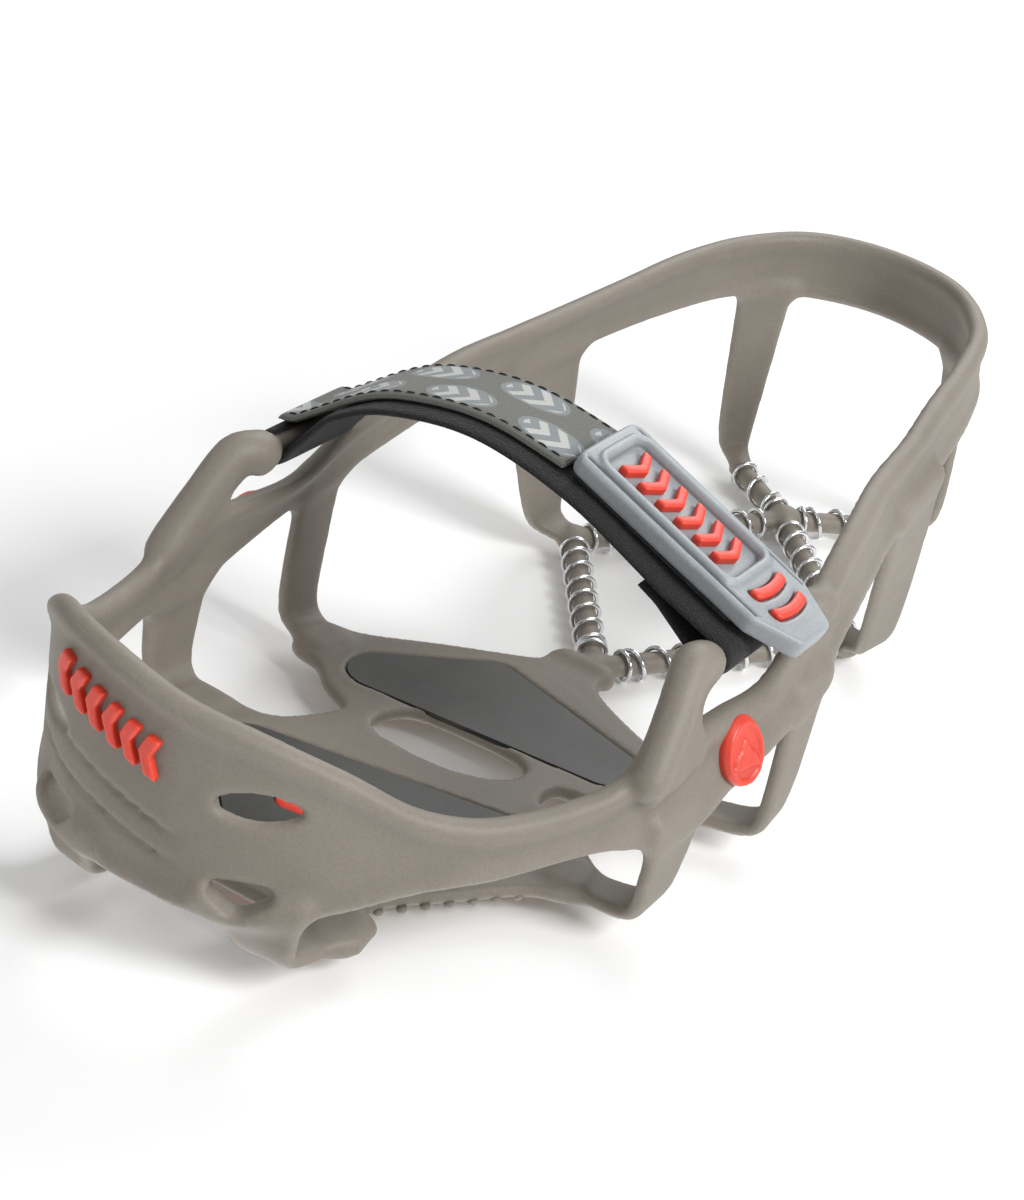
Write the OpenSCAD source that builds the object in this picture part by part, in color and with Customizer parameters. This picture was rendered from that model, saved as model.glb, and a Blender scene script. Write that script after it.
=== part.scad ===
// Shoe ice cleat for the left foot: an elastomer harness with six studs under
// the forefoot, six wire coils under the heel and an instep strap.
// +Y points to the toe, +X to the inner side of the foot, +Z up.
// The origin is on the ground, under the middle of the whole outline.

/* [Overall] */
// Length of the sole that the cleat fits
sole_len = 305; // [250:1:350]
// Width over the forefoot bands
forefoot_w = 133; // [115:1:160]
// Height of the shoe's underside above the ground
seat_h = 8.5; // [7.5:0.1:10]

/* [Harness] */
// Thickness of the bands and arms
band_t = 3.4; // [2.6:0.1:4.5]
// Thickness of the two sole plates
plate_t = 3.4; // [3:0.1:4]
// Height of the toe rim above the ground
toe_rim_h = 70; // [60:1:80]
// Height of the heel band's top edge above the ground
heel_rim_h = 76; // [66:1:86]
// Height of the side bands' top edge under the strap slots
slot_floor_h = 50; // [46:1:51]
// Width of the arms where they leave the sole plates
arm_w = 10; // [8:0.5:12]

/* [Studs] */
// Diameter of a stud boss
boss_d = 8; // [7:0.1:10]
// Diameter of a boss flange
flange_d = 12; // [11:0.1:14]
// Thickness of a boss flange
flange_t = 1; // [0.8:0.1:1.2]
// Diameter of a steel collar
collar_d = 3.6; // [3.2:0.1:4.5]
// Diameter of a carbide pin
pin_d = 1.8; // [1.4:0.1:2.2]
// Length that a pin stands out of its collar
pin_out = 1.1; // [0.8:0.1:1.4]
// Length that a collar stands out of its boss
collar_out = 0.7; // [0.4:0.1:1]
// Thickness of the stiff insert plates
insert_t = 1.2; // [1:0.1:1.4]
// Length of the grommet across the foot
grommet_l = 26; // [22:1:30]

/* [Heel cords and coils] */
// Diameter of the heel cords
cord_d = 5.6; // [4.8:0.1:6]
// Diameter of the coil wire
wire_d = 1.2; // [1:0.1:1.3]
// Outer diameter of the coils
coil_d = 8.5; // [8.3:0.1:9.2]
// Distance between the turns of a coil
coil_pitch = 7; // [6:0.1:9]

/* [Strap] */
// Width of the upper strap with the pull tab
strap_w = 25; // [20:1:28]
// Width of the base strap
base_strap_w = 29; // [24:1:31]
// Thickness of a strap layer
strap_t = 1.8; // [1.4:0.1:2]
// Diameter of the bars that the strap passes round
bar_d = 5; // [4.4:0.1:5.4]
// Length of the pull tab
tab_len = 62; // [56:1:64]
// Thickness of the pull tab
tab_t = 4.6; // [4:0.1:5]

/* [Hidden] */
$fn = 32;
// The layout below is drawn for this length and width, from the heel end of the
// sole and the middle of the heel, and scales with them
drawn_len = 305;
drawn_w = 133;
sx = forefoot_w / drawn_w;
sy = sole_len / drawn_len;
// Middle of the whole outline in the drawn layout
mid_x = -4.2;
mid_y = 154.5;
fit = 0.3;
seat_z = seat_h;
plate_z = seat_z - plate_t;
plate_mid = seat_z - plate_t / 2;
cord_z = coil_d / 2;
insert_z = seat_z - insert_t;
toe_up = toe_rim_h - 70;
heel_up = heel_rim_h - 76;
slot_up = slot_floor_h - 50;

function across(x) = (x - mid_x) * sx;
function forward(y) = (y - mid_y) * sy;
function at(p) = [across(p[0]), forward(p[1])];
function unit(v) = v / norm(v);
function perp(v) = [-v[1], v[0]];
// Point on a smooth curve through four neighbours, for u from 0 to 1
function blend4(a, b, c, d, u) =
    0.5 * ((2 * b) + (c - a) * u + (2 * a - 5 * b + 4 * c - d) * u * u
    + (3 * b - a - 3 * c + d) * u * u * u);
// Smooth curve through the points of p, with n steps between neighbours
function smooth(p, n) = [
    for (i = [0 : len(p) - 2]) for (k = [0 : n - 1])
        blend4(p[max(i - 1, 0)], p[i], p[i + 1], p[min(i + 2, len(p) - 1)], k / n),
    p[len(p) - 1]];

// Studs: lateral front, medial front, toe, lateral rear, rear centre, medial rear
front_studs = [[-32, 226], [31, 238], [1, 269]];
rear_studs = [[-32, 185], [8, 173], [28, 190]];
grommet_at = [1.7, 244];
// Split line between the two sole plates, through the slot
split_l = [-32, 200];
split_r = [32, 208];

// Where the side bands meet the toe band and the heel band
toe_join = 248;
heel_join = 118;
// Bands as stations: x and y at the bottom edge, heights of the bottom and top
// edges, and how far the top leans in
toe_stations = [
    [-60, toe_join, 31, 43, 1], [-51, 270, 31, 43, 1], [-41, 283, 29, 46, 1],
    [-30, 294, 24, 54 + toe_up / 2, 1], [-17, 303, 20, 60 + toe_up, 1],
    [0, 309, 20, 65 + toe_up, 0], [20, 308, 20, 70 + toe_up, -1],
    [33, 302, 21, 69 + toe_up, -1], [44, 289, 25, 58 + toe_up / 2, 0],
    [53, 270, 30, 46, 1], [58.5, toe_join, 31, 43, 1]];
lateral_stations = [
    [-60, toe_join, 31, 43, 1], [-65, 236, 29, 47, 3], [-68, 222, 28, 49 + slot_up, 4],
    [-70, 208, 33, 49 + slot_up, 5], [-71.5, 192, 38, 49.5 + slot_up, 5],
    [-71, 176, 42, 58 + slot_up, 5], [-68, 160, 48, 64, 5], [-64, 140, 52, 68, 5],
    [-59, heel_join, 53, 69, 5]];
medial_stations = [
    [58.5, toe_join, 31, 43, 1], [61, 238, 29, 47, 3], [62.5, 224, 28, 49 + slot_up, 4],
    [62, 208, 33, 49 + slot_up, 5], [61, 192, 38, 49.5 + slot_up, 5],
    [59, 176, 42, 58 + slot_up, 5], [56, 160, 48, 64, 5], [54, 140, 52, 68, 5],
    [52, heel_join, 53, 69, 5]];
heel_stations = [
    [-59, heel_join, 53, 69, 5], [-55, 95, 54, 70 + heel_up / 2, 4],
    [-51, 72, 56, 72 + heel_up, 4], [-46, 46, 57, 74 + heel_up, 3],
    [-38, 22, 58, 75 + heel_up, 2], [-22, 4, 58, 76 + heel_up, 1],
    [0, -3, 58, 76 + heel_up, 1], [21, 4, 58, 76 + heel_up, 1],
    [35, 22, 58, 75 + heel_up, 2], [42, 46, 57, 74 + heel_up, 3],
    [46, 72, 56, 72 + heel_up, 4], [49, 95, 54, 70 + heel_up / 2, 4],
    [52, heel_join, 53, 69, 5]];

// Nodes of the heel cords
node_a = [-4, 143];
node_b = [-43, 80];
node_c = [35, 89];
node_d = [1, 31];
node_e = [-25, 8];
node_f = [25, 12];

// Strap bars, as x and z, and the strap's place along the foot
strap_y = 190.5;
base_y = 194;
lateral_bar = [-60, slot_floor_h + 9.5];
medial_bar = [55, slot_floor_h + 12];
// Room from the base strap's edges to the middle of the loops' ends
loop_room = 5;
// Where the loops' posts stand on the side bands, as x at the front and back
lateral_feet = [-65, -66];
medial_feet = [57.5, 54.5];
bar_r = bar_d / 2;
wrap_r = bar_r + fit / 2 + strap_t / 2;
// Middle line of the base strap over the instep, as x and z
instep = [[-46, 68.4], [-20, 80], [5, 85], [28, 81.5], [42, 74]];
// The pull tab's inner end, and the angle that it stands off the strap under it
tab_start = [-18, 88.6];
tab_off = 1.27;
tab_turn = atan2(instep[1][1] - instep[0][1], (instep[1][0] - instep[0][0]) * sx) - tab_off;
tab_x = (tab_start[0] - mid_x) * sx;
// Gap between the upper strap's end and the tab's end, across the tab's hinge
hinge_gap = 1;
// Distance from one strap layer's middle to the next
layer = strap_t + fit;
// The base strap ends on top of the medial bar, after a turn to this angle
wrap_end = 445;
instep_up = slot_floor_h - 50;
lat = [(lateral_bar[0] - mid_x) * sx, lateral_bar[1]];
med = [(medial_bar[0] - mid_x) * sx, medial_bar[1]];
// Straight part of the bars ends this far inside the loops
corner = 3;
// Thickness of the hook patch, and how deep the tab's recess and grooves are
patch_t = 1.2;
recess_h = 1.2;
groove_h = 0.8;

// Hubs where cords meet, and the gaps that the coils leave at the cords' ends
hub_r = cord_d / 2 + 0.9;
// Room for the flats of a faceted cut against a true sphere
facet_gap = 0.03;
hub_gap = hub_r + 0.4;
fork_gap = coil_d / 2 * 1.62;
end_gap = 2.5;
// Facets of the wire round its section and over one turn
coil_sides = 6;
coil_steps = 12;
wire_path_r = (coil_d - wire_d) / 2;
// Lower end of the stud bosses, and depth of the bores for the collars
boss_low = pin_out + collar_out;
bore_h = 3;

module bead(p, r = band_t / 2) {
    translate(p) sphere(r = r, $fn = 8);
}

// A band with rolled edges, from station to station
module band(stations, steps) {
    s = smooth(stations, steps);
    for (i = [0 : len(s) - 2])
        hull()
            for (q = [s[i], s[i + 1]]) {
                p = at(q);
                inward = q[0] > 0 ? -1 : 1;
                bead([p[0], p[1], q[2] + band_t / 2]);
                bead([p[0] + inward * q[4], p[1], q[3] - band_t / 2]);
            }
}

// The slice of the space between two places along the foot
module stretch(y0, y1) {
    translate([-sole_len, forward(y0), 0])
        cube([2 * sole_len, forward(y1) - forward(y0), sole_len]);
}

// A ribbon between two rails of points
module ribbon(left, right) {
    for (i = [0 : len(left) - 2])
        hull() {
            bead(left[i]);
            bead(right[i]);
            bead(left[i + 1]);
            bead(right[i + 1]);
        }
}

// Middle line of an arm: under the sole, round its edge and up to a band
function arm_line(root, edge, top, z0, z_edge) =
    let (d = unit(edge - root))
    smooth([
        [root[0], root[1], z0], [edge[0] - 9 * d[0], edge[1] - 9 * d[1], (z0 + z_edge) / 2],
        [edge[0] - 2 * d[0], edge[1] - 2 * d[1], z_edge + 2],
        [edge[0], edge[1], z_edge + 9], [top[0], top[1], top[2]]], 2);

// An arm from a plate to a band, widening towards its top, where its width lies
// along the direction lie
module arm(root, edge, top, lie, w0, w1, z0 = plate_mid, z_edge = plate_mid) {
    r = at(root);
    e = at(edge);
    t = at(top);
    line = arm_line(r, e, [t[0], t[1], top[2]], z0, z_edge);
    side = perp(unit(e - r));
    n = len(line) - 1;
    half = [for (i = [0 : n]) (w0 + (w1 - w0) * pow(i / n, 2)) / 2 - band_t / 2];
    along = unit([lie[0] * sx, lie[1] * sy]);
    dir = [for (i = [0 : n]) unit(side * (1 - i / n) + along * i / n)];
    ribbon([for (i = [0 : n]) line[i] + half[i] * [dir[i][0], dir[i][1], 0]],
        [for (i = [0 : n]) line[i] - half[i] * [dir[i][0], dir[i][1], 0]]);
}

// Outline of both sole plates with the stubs of the arms
module plate_outline() {
    pts = [[-18, 279], [-8, 280.5], [8, 280.5], [18, 279], [25, 281], [31, 277],
        [27, 265], [35, 255], [42, 243], [51, 238], [52, 227], [39, 226], [32, 223],
        [26, 214], [25, 208], [34, 203], [41, 197], [50, 194], [48, 183], [38, 177],
        [25, 168], [12, 160], [5, 155], [3, 149], [-11, 149], [-11, 154], [-14, 159],
        [-24, 165], [-39, 172], [-50, 177], [-54, 187], [-37, 198], [-28, 201],
        [-28, 209], [-37, 212], [-48, 220], [-51, 232], [-43, 238], [-34, 250],
        [-25, 262], [-23, 270], [-29, 279], [-23, 284]];
    offset(r = 2) offset(r = -4) offset(r = 2)
        polygon([for (p = pts) at(p)]);
}

// The slot that passes through between the plates
module slot_outline() {
    l = at([-13, 203]);
    r = at([12, 206]);
    offset(r = 5)
        polygon([l + [0, 2], r + [0, 2], r - [0, 2], l - [0, 2]]);
}

// Everything on the toe side of the split line
module toe_half() {
    l = at(split_l);
    r = at(split_r);
    far = sole_len;
    polygon([l, r, r + [far, 0], r + [far, far], l + [-far, far], l - [far, 0]]);
}

// Middle line of the rounded triangular grommet
module grommet_outline(grow) {
    k = grommet_l / 26;
    c = at(grommet_at);
    translate(c)
        offset(r = 4 + grow)
            polygon(k * [[-9.5, 1.5], [8.5, 4.5], [2, -4.5]]);
}

module front_insert_outline(grow) {
    offset(r = 8 + grow)
        polygon([for (p = front_studs) at(p)]);
}

module rear_insert_outline(grow) {
    offset(r = 8 + grow)
        polygon([for (p = rear_studs) at(p)]);
}

module drill(points, d, z0, h) {
    for (p = points)
        translate([at(p)[0], at(p)[1], z0])
            cylinder(d = d, h = h);
}

module plate_blank() {
    translate([0, 0, plate_z])
        linear_extrude(plate_t)
            plate_outline();
}

module toe_band() {
    color([0.55, 0.52, 0.47])
        difference() {
            intersection() {
                band(toe_stations, 3);
                stretch(toe_join, drawn_len * 2);
            }
            // Two windows on each side of the toe
            for (s = [[-1, -17, -13], [1, 30, 27]]) {
                translate([across(s[1]), forward(300), 0])
                    rotate([90, 0, s[0] * 22])
                        translate([0, 0, -30])
                            linear_extrude(60)
                                union() {
                                    translate([0, 45])
                                        offset(r = 1.5)
                                            polygon([[-6, 1.5], [6, 1], [5, -1], [-2, -2]]);
                                    translate([0, 27])
                                        offset(r = 1.5)
                                            polygon([[-6, 2], [6, 1], [0, -4]]);
                                }
            }
        }
}

module lateral_band() {
    color([0.55, 0.52, 0.47])
        intersection() {
            band(lateral_stations, 3);
            stretch(heel_join, toe_join);
        }
}

module medial_band() {
    color([0.55, 0.52, 0.47])
        intersection() {
            band(medial_stations, 3);
            stretch(heel_join, toe_join);
        }
}

module heel_band() {
    color([0.55, 0.52, 0.47])
        intersection() {
            band(heel_stations, 3);
            stretch(-drawn_len, heel_join);
        }
}

// A post, a bar for the strap and its rear end, standing on a side band
module loop_frame(bar, feet) {
    x = across(bar[0]);
    xf = across(feet[0]);
    xb = across(feet[1]);
    y0 = forward(base_y) - base_strap_w / 2 - loop_room;
    y1 = forward(base_y) + base_strap_w / 2 + loop_room;
    foot = slot_floor_h + bar_r - 0.6;
    line = concat(
        smooth([[xf, y1 + 3, foot], [(2 * xf + x) / 3, y1 + 2.5, (foot + bar[1]) / 2 + 1],
            [x, y1, bar[1] + 0.5], [x, y1 - corner, bar[1]]], 2),
        smooth([[x, y0 + corner, bar[1]], [(xb + x) / 2, y0, bar[1] + 0.5],
            [xb, y0 - corner, slot_floor_h + 11.5]], 2));
    for (i = [0 : len(line) - 2])
        hull() {
            bead(line[i], bar_r);
            bead(line[i + 1], bar_r);
        }
}

module lateral_strap_loop() {
    color([0.55, 0.52, 0.47])
        difference() {
            loop_frame(lateral_bar, lateral_feet);
            band(lateral_stations, 3);
        }
}

module medial_strap_loop() {
    color([0.55, 0.52, 0.47])
        difference() {
            loop_frame(medial_bar, medial_feet);
            band(medial_stations, 3);
        }
}

module front_sole_plate() {
    color([0.58, 0.55, 0.5])
        difference() {
            plate_blank();
            translate([0, 0, plate_z - 1])
                linear_extrude(plate_t + 2)
                    difference() {
                        square(4 * sole_len, center = true);
                        toe_half();
                    }
            translate([0, 0, plate_z - 1])
                linear_extrude(plate_t + 2)
                    slot_outline();
            translate([0, 0, plate_z - 1])
                linear_extrude(plate_t + 2)
                    grommet_outline(fit / 2);
            translate([0, 0, insert_z])
                linear_extrude(insert_t + 1)
                    front_insert_outline(fit / 2);
            drill(front_studs, flange_d + fit, insert_z - flange_t, plate_t);
            drill(front_studs, boss_d + fit, plate_z - 1, plate_t + 2);
        }
}

module rear_sole_plate() {
    color([0.58, 0.55, 0.5])
        difference() {
            plate_blank();
            translate([0, 0, plate_z - 1])
                linear_extrude(plate_t + 2)
                    toe_half();
            translate([0, 0, plate_z - 1])
                linear_extrude(plate_t + 2)
                    slot_outline();
            translate([0, 0, insert_z])
                linear_extrude(insert_t + 1)
                    rear_insert_outline(fit / 2);
            drill(rear_studs, flange_d + fit, insert_z - flange_t, plate_t);
            drill(rear_studs, boss_d + fit, plate_z - 1, plate_t + 2);
        }
}

module toe_lateral_arm() {
    color([0.55, 0.52, 0.47])
        difference() {
            arm([-24, 272], [-18.5, 298], [-16.5, 301, 25], [-9, -5], arm_w, 2.2 * arm_w,
                plate_mid, plate_mid + 3);
            band(toe_stations, 3);
            plate_blank();
        }
}

module toe_medial_arm() {
    color([0.55, 0.52, 0.47])
        difference() {
            arm([26, 271], [25.5, 299], [25, 302.5, 25], [-9, 3.5], arm_w, 2 * arm_w,
                plate_mid, plate_mid + 3);
            band(toe_stations, 3);
            plate_blank();
        }
}

module front_lateral_arm() {
    color([0.55, 0.52, 0.47])
        difference() {
            arm([-46, 227], [-67, 226], [-67.5, 224, 33], [0, -1], arm_w, 2.2 * arm_w);
            band(lateral_stations, 3);
            plate_blank();
        }
}

module front_medial_arm() {
    color([0.55, 0.52, 0.47])
        difference() {
            arm([46, 232], [61.5, 229], [62, 227, 33], [0, 1], arm_w, 2.2 * arm_w);
            band(medial_stations, 3);
            plate_blank();
        }
}

module rear_lateral_arm() {
    color([0.55, 0.52, 0.47])
        difference() {
            arm([-47, 184], [-70.5, 178], [-71, 177, 46], [0, -1], arm_w, 1.6 * arm_w);
            band(lateral_stations, 3);
            plate_blank();
        }
}

module rear_medial_arm() {
    color([0.55, 0.52, 0.47])
        difference() {
            arm([44, 188], [58.5, 183], [59, 179, 46], [0, 1], arm_w, 1.6 * arm_w);
            band(medial_stations, 3);
            plate_blank();
        }
}

module hub(p, r) {
    translate([at(p)[0], at(p)[1], cord_z])
        sphere(r = r);
}

// A web from the end of the side cords up to the heel band
module heel_lateral_web() {
    color([0.55, 0.52, 0.47])
        difference() {
            arm(node_b, [-52, 84], [-56, 94, 58], [1, -9], cord_d + 1, 3.2 * arm_w, cord_z,
                cord_z + 2);
            heel_band();
            hub(node_b, hub_r + facet_gap);
            rod(node_a, node_b);
            rod(node_b, node_d);
        }
}

module heel_medial_web() {
    color([0.55, 0.52, 0.47])
        difference() {
            arm(node_c, [45, 92], [49.5, 98, 58], [1, 9], cord_d + 1, 3.2 * arm_w, cord_z,
                cord_z + 2);
            heel_band();
            hub(node_c, hub_r + facet_gap);
            rod(node_a, node_c);
            rod(node_c, node_d);
        }
}

module heel_lateral_riser() {
    color([0.55, 0.52, 0.47])
        difference() {
            arm(node_e, [-31, 4], [-30, 12, 60], [7, -7], cord_d, 1.6 * arm_w, cord_z,
                cord_z + 2);
            heel_band();
            cord_end_lateral();
        }
}

module heel_medial_riser() {
    color([0.55, 0.52, 0.47])
        difference() {
            arm(node_f, [31, 8], [29, 13, 60], [7, 7], cord_d, 1.6 * arm_w, cord_z,
                cord_z + 2);
            heel_band();
            cord_end_medial();
        }
}

module rod(p, q) {
    a = at(p);
    b = at(q);
    translate([a[0], a[1], cord_z])
        rotate([0, 90, atan2(b[1] - a[1], b[0] - a[0])])
            cylinder(d = cord_d, h = norm(b - a));
}

// The far side of the plane that halves the fork from p towards q and other
module fork_half(p, q, other) {
    a = at(p);
    d = unit(at(q) - a);
    e = unit(at(other) - a);
    turn = d[0] * e[1] - d[1] * e[0] > 0 ? 0 : -1;
    translate([a[0], a[1], 0])
        rotate([0, 0, atan2(d[1] + e[1], d[0] + e[0])])
            translate([-coil_d, turn * 2 * coil_d, 0])
                cube([4 * coil_d, 2 * coil_d, 2 * coil_d]);
}

// A plain round cord from a fork, cut clear of the hubs and halved against each
// neighbour of it at that fork
module cord(fork, outer, neighbours, r_end = hub_r) {
    color([0.55, 0.52, 0.47])
        difference() {
            rod(fork, outer);
            hub(fork, hub_r);
            if (r_end > 0) hub(outer, r_end);
            for (n = neighbours) fork_half(fork, outer, n);
        }
}

module cord_front_lateral() { cord(node_a, node_b, [node_c]); }
module cord_front_medial() { cord(node_a, node_c, [node_b]); }
module cord_rear_lateral() { cord(node_d, node_b, [node_c, node_e]); }
module cord_rear_medial() { cord(node_d, node_c, [node_b, node_f]); }
module cord_end_lateral() { cord(node_d, node_e, [node_b, node_f], 0); }
module cord_end_medial() { cord(node_d, node_f, [node_c, node_e], 0); }

module plate_hub() {
    color([0.55, 0.52, 0.47])
        difference() {
            hull() {
                hub(node_a, hub_r);
                translate([at([-4, 150])[0], at([-4, 150])[1], plate_mid])
                    scale([1.6, 1, 0.5])
                        sphere(r = hub_r);
            }
            plate_blank();
            translate([0, 0, -10 + 0.6])
                cube([sole_len, sole_len, 20], center = true);
        }
}

module lateral_hub() { color([0.55, 0.52, 0.47]) hub(node_b, hub_r); }
module medial_hub() { color([0.55, 0.52, 0.47]) hub(node_c, hub_r); }
module heel_hub() { color([0.55, 0.52, 0.47]) hub(node_d, hub_r); }

module front_insert_plate() {
    color([0.35, 0.34, 0.33])
        translate([0, 0, insert_z])
            linear_extrude(insert_t)
                difference() {
                    front_insert_outline(-fit / 2);
                    grommet_outline(fit / 2);
                }
}

module rear_insert_plate() {
    color([0.35, 0.34, 0.33])
        translate([0, 0, insert_z])
            linear_extrude(insert_t)
                rear_insert_outline(-fit / 2);
}

// The grommet lines the opening and stands out below the plate
module grommet() {
    color([0.93, 0.25, 0.22])
        difference() {
            translate([0, 0, plate_z - 1.6])
                linear_extrude(plate_t + 1.6)
                    grommet_outline(0);
            translate([0, 0, plate_z - 3])
                linear_extrude(plate_t + 4)
                    grommet_outline(-3.2);
        }
}

// A boss with its flange under the insert plate, bored for its collar
module boss(p) {
    translate([at(p)[0], at(p)[1], 0])
        difference() {
            union() {
                translate([0, 0, boss_low])
                    cylinder(d = boss_d, h = insert_z - boss_low);
                translate([0, 0, insert_z - flange_t])
                    cylinder(d = flange_d, h = flange_t);
            }
            translate([0, 0, boss_low - 1])
                cylinder(d = collar_d, h = bore_h + 1);
        }
}

module front_stud_bosses() {
    color([0.93, 0.25, 0.22])
        for (p = front_studs) boss(p);
}

module rear_stud_bosses() {
    color([0.93, 0.25, 0.22])
        for (p = rear_studs) boss(p);
}

module stud_collars() {
    color([0.75, 0.75, 0.77])
        for (p = concat(front_studs, rear_studs))
            translate([at(p)[0], at(p)[1], 0])
                difference() {
                    translate([0, 0, pin_out])
                        cylinder(d = collar_d, h = collar_out + bore_h);
                    cylinder(d = pin_d, h = pin_out + 2);
                }
}

module carbide_pins() {
    color([0.85, 0.85, 0.87])
        for (p = concat(front_studs, rear_studs))
            translate([at(p)[0], at(p)[1], 0])
                union() {
                    translate([0, 0, pin_out / 2])
                        cylinder(d = pin_d, h = pin_out / 2 + 2);
                    cylinder(d1 = pin_d / 2, d2 = pin_d, h = pin_out / 2, $fn = 24);
                }
}

// A wire coil round a straight cord, with closed turns at its ends
module coil(p, q, gap0, gap1) {
    a = at(p);
    b = at(q);
    d = unit(b - a);
    run = norm(b - a) - gap0 - gap1;
    turns = max(3, round(run / coil_pitch) + 1);
    n = turns * coil_steps;
    side = perp(d);
    // Place along the cord: slow over the first and last turn, even between them
    function along(t) =
        let (close = wire_d * 1.15, mid = run - wire_d - 2 * close)
        t < 1 ? close * t
        : t > turns - 1 ? close + mid + close * (t - turns + 1)
        : close + mid * (t - 1) / (turns - 2);
    rings = [for (i = [0 : n])
        let (t = i / coil_steps, ang = 360 * t,
            c = a + d * (gap0 + wire_d / 2 + along(t)))
        [for (k = [0 : coil_sides - 1])
            let (w = 360 * k / coil_sides,
                r = wire_path_r + cos(w) * wire_d / 2,
                s = sin(w) * wire_d / 2)
            [c[0] + d[0] * s + side[0] * r * cos(ang),
             c[1] + d[1] * s + side[1] * r * cos(ang),
             cord_z + r * sin(ang)]]];
    color([0.78, 0.78, 0.8])
        polyhedron(
            points = [for (r = rings) each r],
            faces = concat(
                [[for (k = [0 : coil_sides - 1]) k]],
                [for (i = [0 : n - 1]) for (k = [0 : coil_sides - 1])
                    let (u = i * coil_sides, k2 = (k + 1) % coil_sides)
                    each [[u + k, u + coil_sides + k, u + k2],
                        [u + k2, u + coil_sides + k, u + coil_sides + k2]]],
                [[for (k = [coil_sides - 1 : -1 : 0]) n * coil_sides + k]]));
}

// The side cords fork more sharply at their front and rear hubs
module coil_front_lateral() { coil(node_a, node_b, fork_gap, hub_gap); }
module coil_front_medial() { coil(node_a, node_c, fork_gap, hub_gap); }
module coil_rear_lateral() { coil(node_b, node_d, hub_gap, fork_gap); }
module coil_rear_medial() { coil(node_c, node_d, hub_gap, fork_gap); }
module coil_end_lateral() { coil(node_d, node_e, hub_gap, end_gap); }
module coil_end_medial() { coil(node_d, node_f, hub_gap, end_gap); }

// Points on an arc about c, from angle a0 to a1
function arc(c, r, a0, a1, n) = [
    for (i = [0 : n]) c + r * [cos(a0 + (a1 - a0) * i / n), sin(a0 + (a1 - a0) * i / n)]];

// A flat strap along a line of x and z points, w wide and centred at y
module strap(line, w, y, t) {
    n = len(line) - 1;
    nrm = [for (i = [0 : n]) perp(unit(line[min(i + 1, n)] - line[max(i - 1, 0)]))];
    translate([0, forward(y) + w / 2, 0])
        rotate([90, 0, 0])
            linear_extrude(w)
                polygon(concat([for (i = [0 : n]) line[i] + nrm[i] * t / 2],
                    [for (i = [n : -1 : 0]) line[i] - nrm[i] * t / 2]));
}

// Middle line of the base strap over the instep
function instep_line() = smooth([for (p = instep) [across(p[0]), p[1] + instep_up]], 4);

// The base strap: its sewn end one layer under it, round the lateral bar, over the
// instep and round the medial bar from inside
function base_line() =
    let (b = instep_line(),
        sewn = [for (i = [1, 0])
            b[i] - layer * perp(unit(b[i + 1] - b[max(i - 1, 0)]))])
    concat(sewn, arc(lat, wrap_r, -52, -280, 10), b, arc(med, wrap_r, 190, wrap_end, 12));

module base_strap() {
    color([0.1, 0.1, 0.1])
        strap(base_line(), base_strap_w, base_y, strap_t);
}

// The upper strap leaves the medial bar and lies back over the base strap, one
// layer above it, as far as the pull tab
function upper_line() =
    let (b = instep_line(), n = len(b) - 1,
        over = [for (i = [n - 1 : -1 : 6])
            b[i] + layer * perp(unit(b[min(i + 1, n)] - b[i - 1]))])
    concat(arc(med, wrap_r + layer, wrap_end - 20, wrap_end + 15, 3), over,
        [[tab_x + tab_t * sin(tab_turn) + hinge_gap,
            tab_start[1] + instep_up - tab_t * cos(tab_turn) - fit]]);

module upper_strap() {
    color([0.36, 0.37, 0.33])
        strap(upper_line(), strap_w, strap_y, strap_t);
}

// Puts the tab's own frame in place: x runs out to the tip, z is its face
module on_tab() {
    translate([across(tab_start[0]), forward(strap_y), tab_start[1] + instep_up])
        rotate([0, 0, 180])
            rotate([0, tab_turn, 0])
                children();
}

module tab_outline(grow) {
    offset(r = 3 + grow)
        polygon([[3, strap_w / 2 - 3], [tab_len - 12, strap_w / 2 - 3.5],
            [tab_len - 3, strap_w / 2 - 8], [tab_len - 3, 8 - strap_w / 2],
            [tab_len - 12, 3.5 - strap_w / 2], [3, 3 - strap_w / 2]]);
}

module tab_recess(grow) {
    offset(r = 1.5 + grow)
        translate([6, -strap_w / 2 + 6])
            square([tab_len - 27, strap_w - 12]);
}

module pull_tab() {
    color([0.6, 0.62, 0.64])
        on_tab()
            difference() {
                translate([0, 0, -tab_t])
                    linear_extrude(tab_t)
                        tab_outline(0);
                translate([0, 0, -recess_h])
                    linear_extrude(2)
                        tab_recess(0);
                for (x = [tab_len - 16, tab_len - 10])
                    translate([x - 1.3, -6.3, -groove_h])
                        cube([2.6, 12.6, 2]);
            }
}

// Hook patch under the tab, which grips the base strap
module hook_patch() {
    color([0.12, 0.12, 0.12])
        on_tab()
            translate([0, 0, -tab_t - patch_t])
                linear_extrude(patch_t)
                    translate([1, -strap_w / 2 + 1])
                        square([tab_len - 16, strap_w - 2]);
}

// Raised chevrons in the tab's recess
module tab_inlay() {
    count = 6;
    step = (tab_len - 30) / count;
    color([0.93, 0.27, 0.2])
        on_tab()
            for (i = [0 : count - 1])
                translate([8.5 + i * step, 0, -recess_h])
                    linear_extrude(1.8)
                        polygon([[0, -5], [2, -5], [4, 0], [2, 5], [0, 5], [2, 0]]);
}

module tab_grip_bars() {
    color([0.93, 0.27, 0.2])
        on_tab()
            for (x = [tab_len - 16, tab_len - 10])
                translate([x - 1.3, -6.3, -groove_h])
                    cube([2.6, 12.6, 2 * groove_h]);
}

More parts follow.
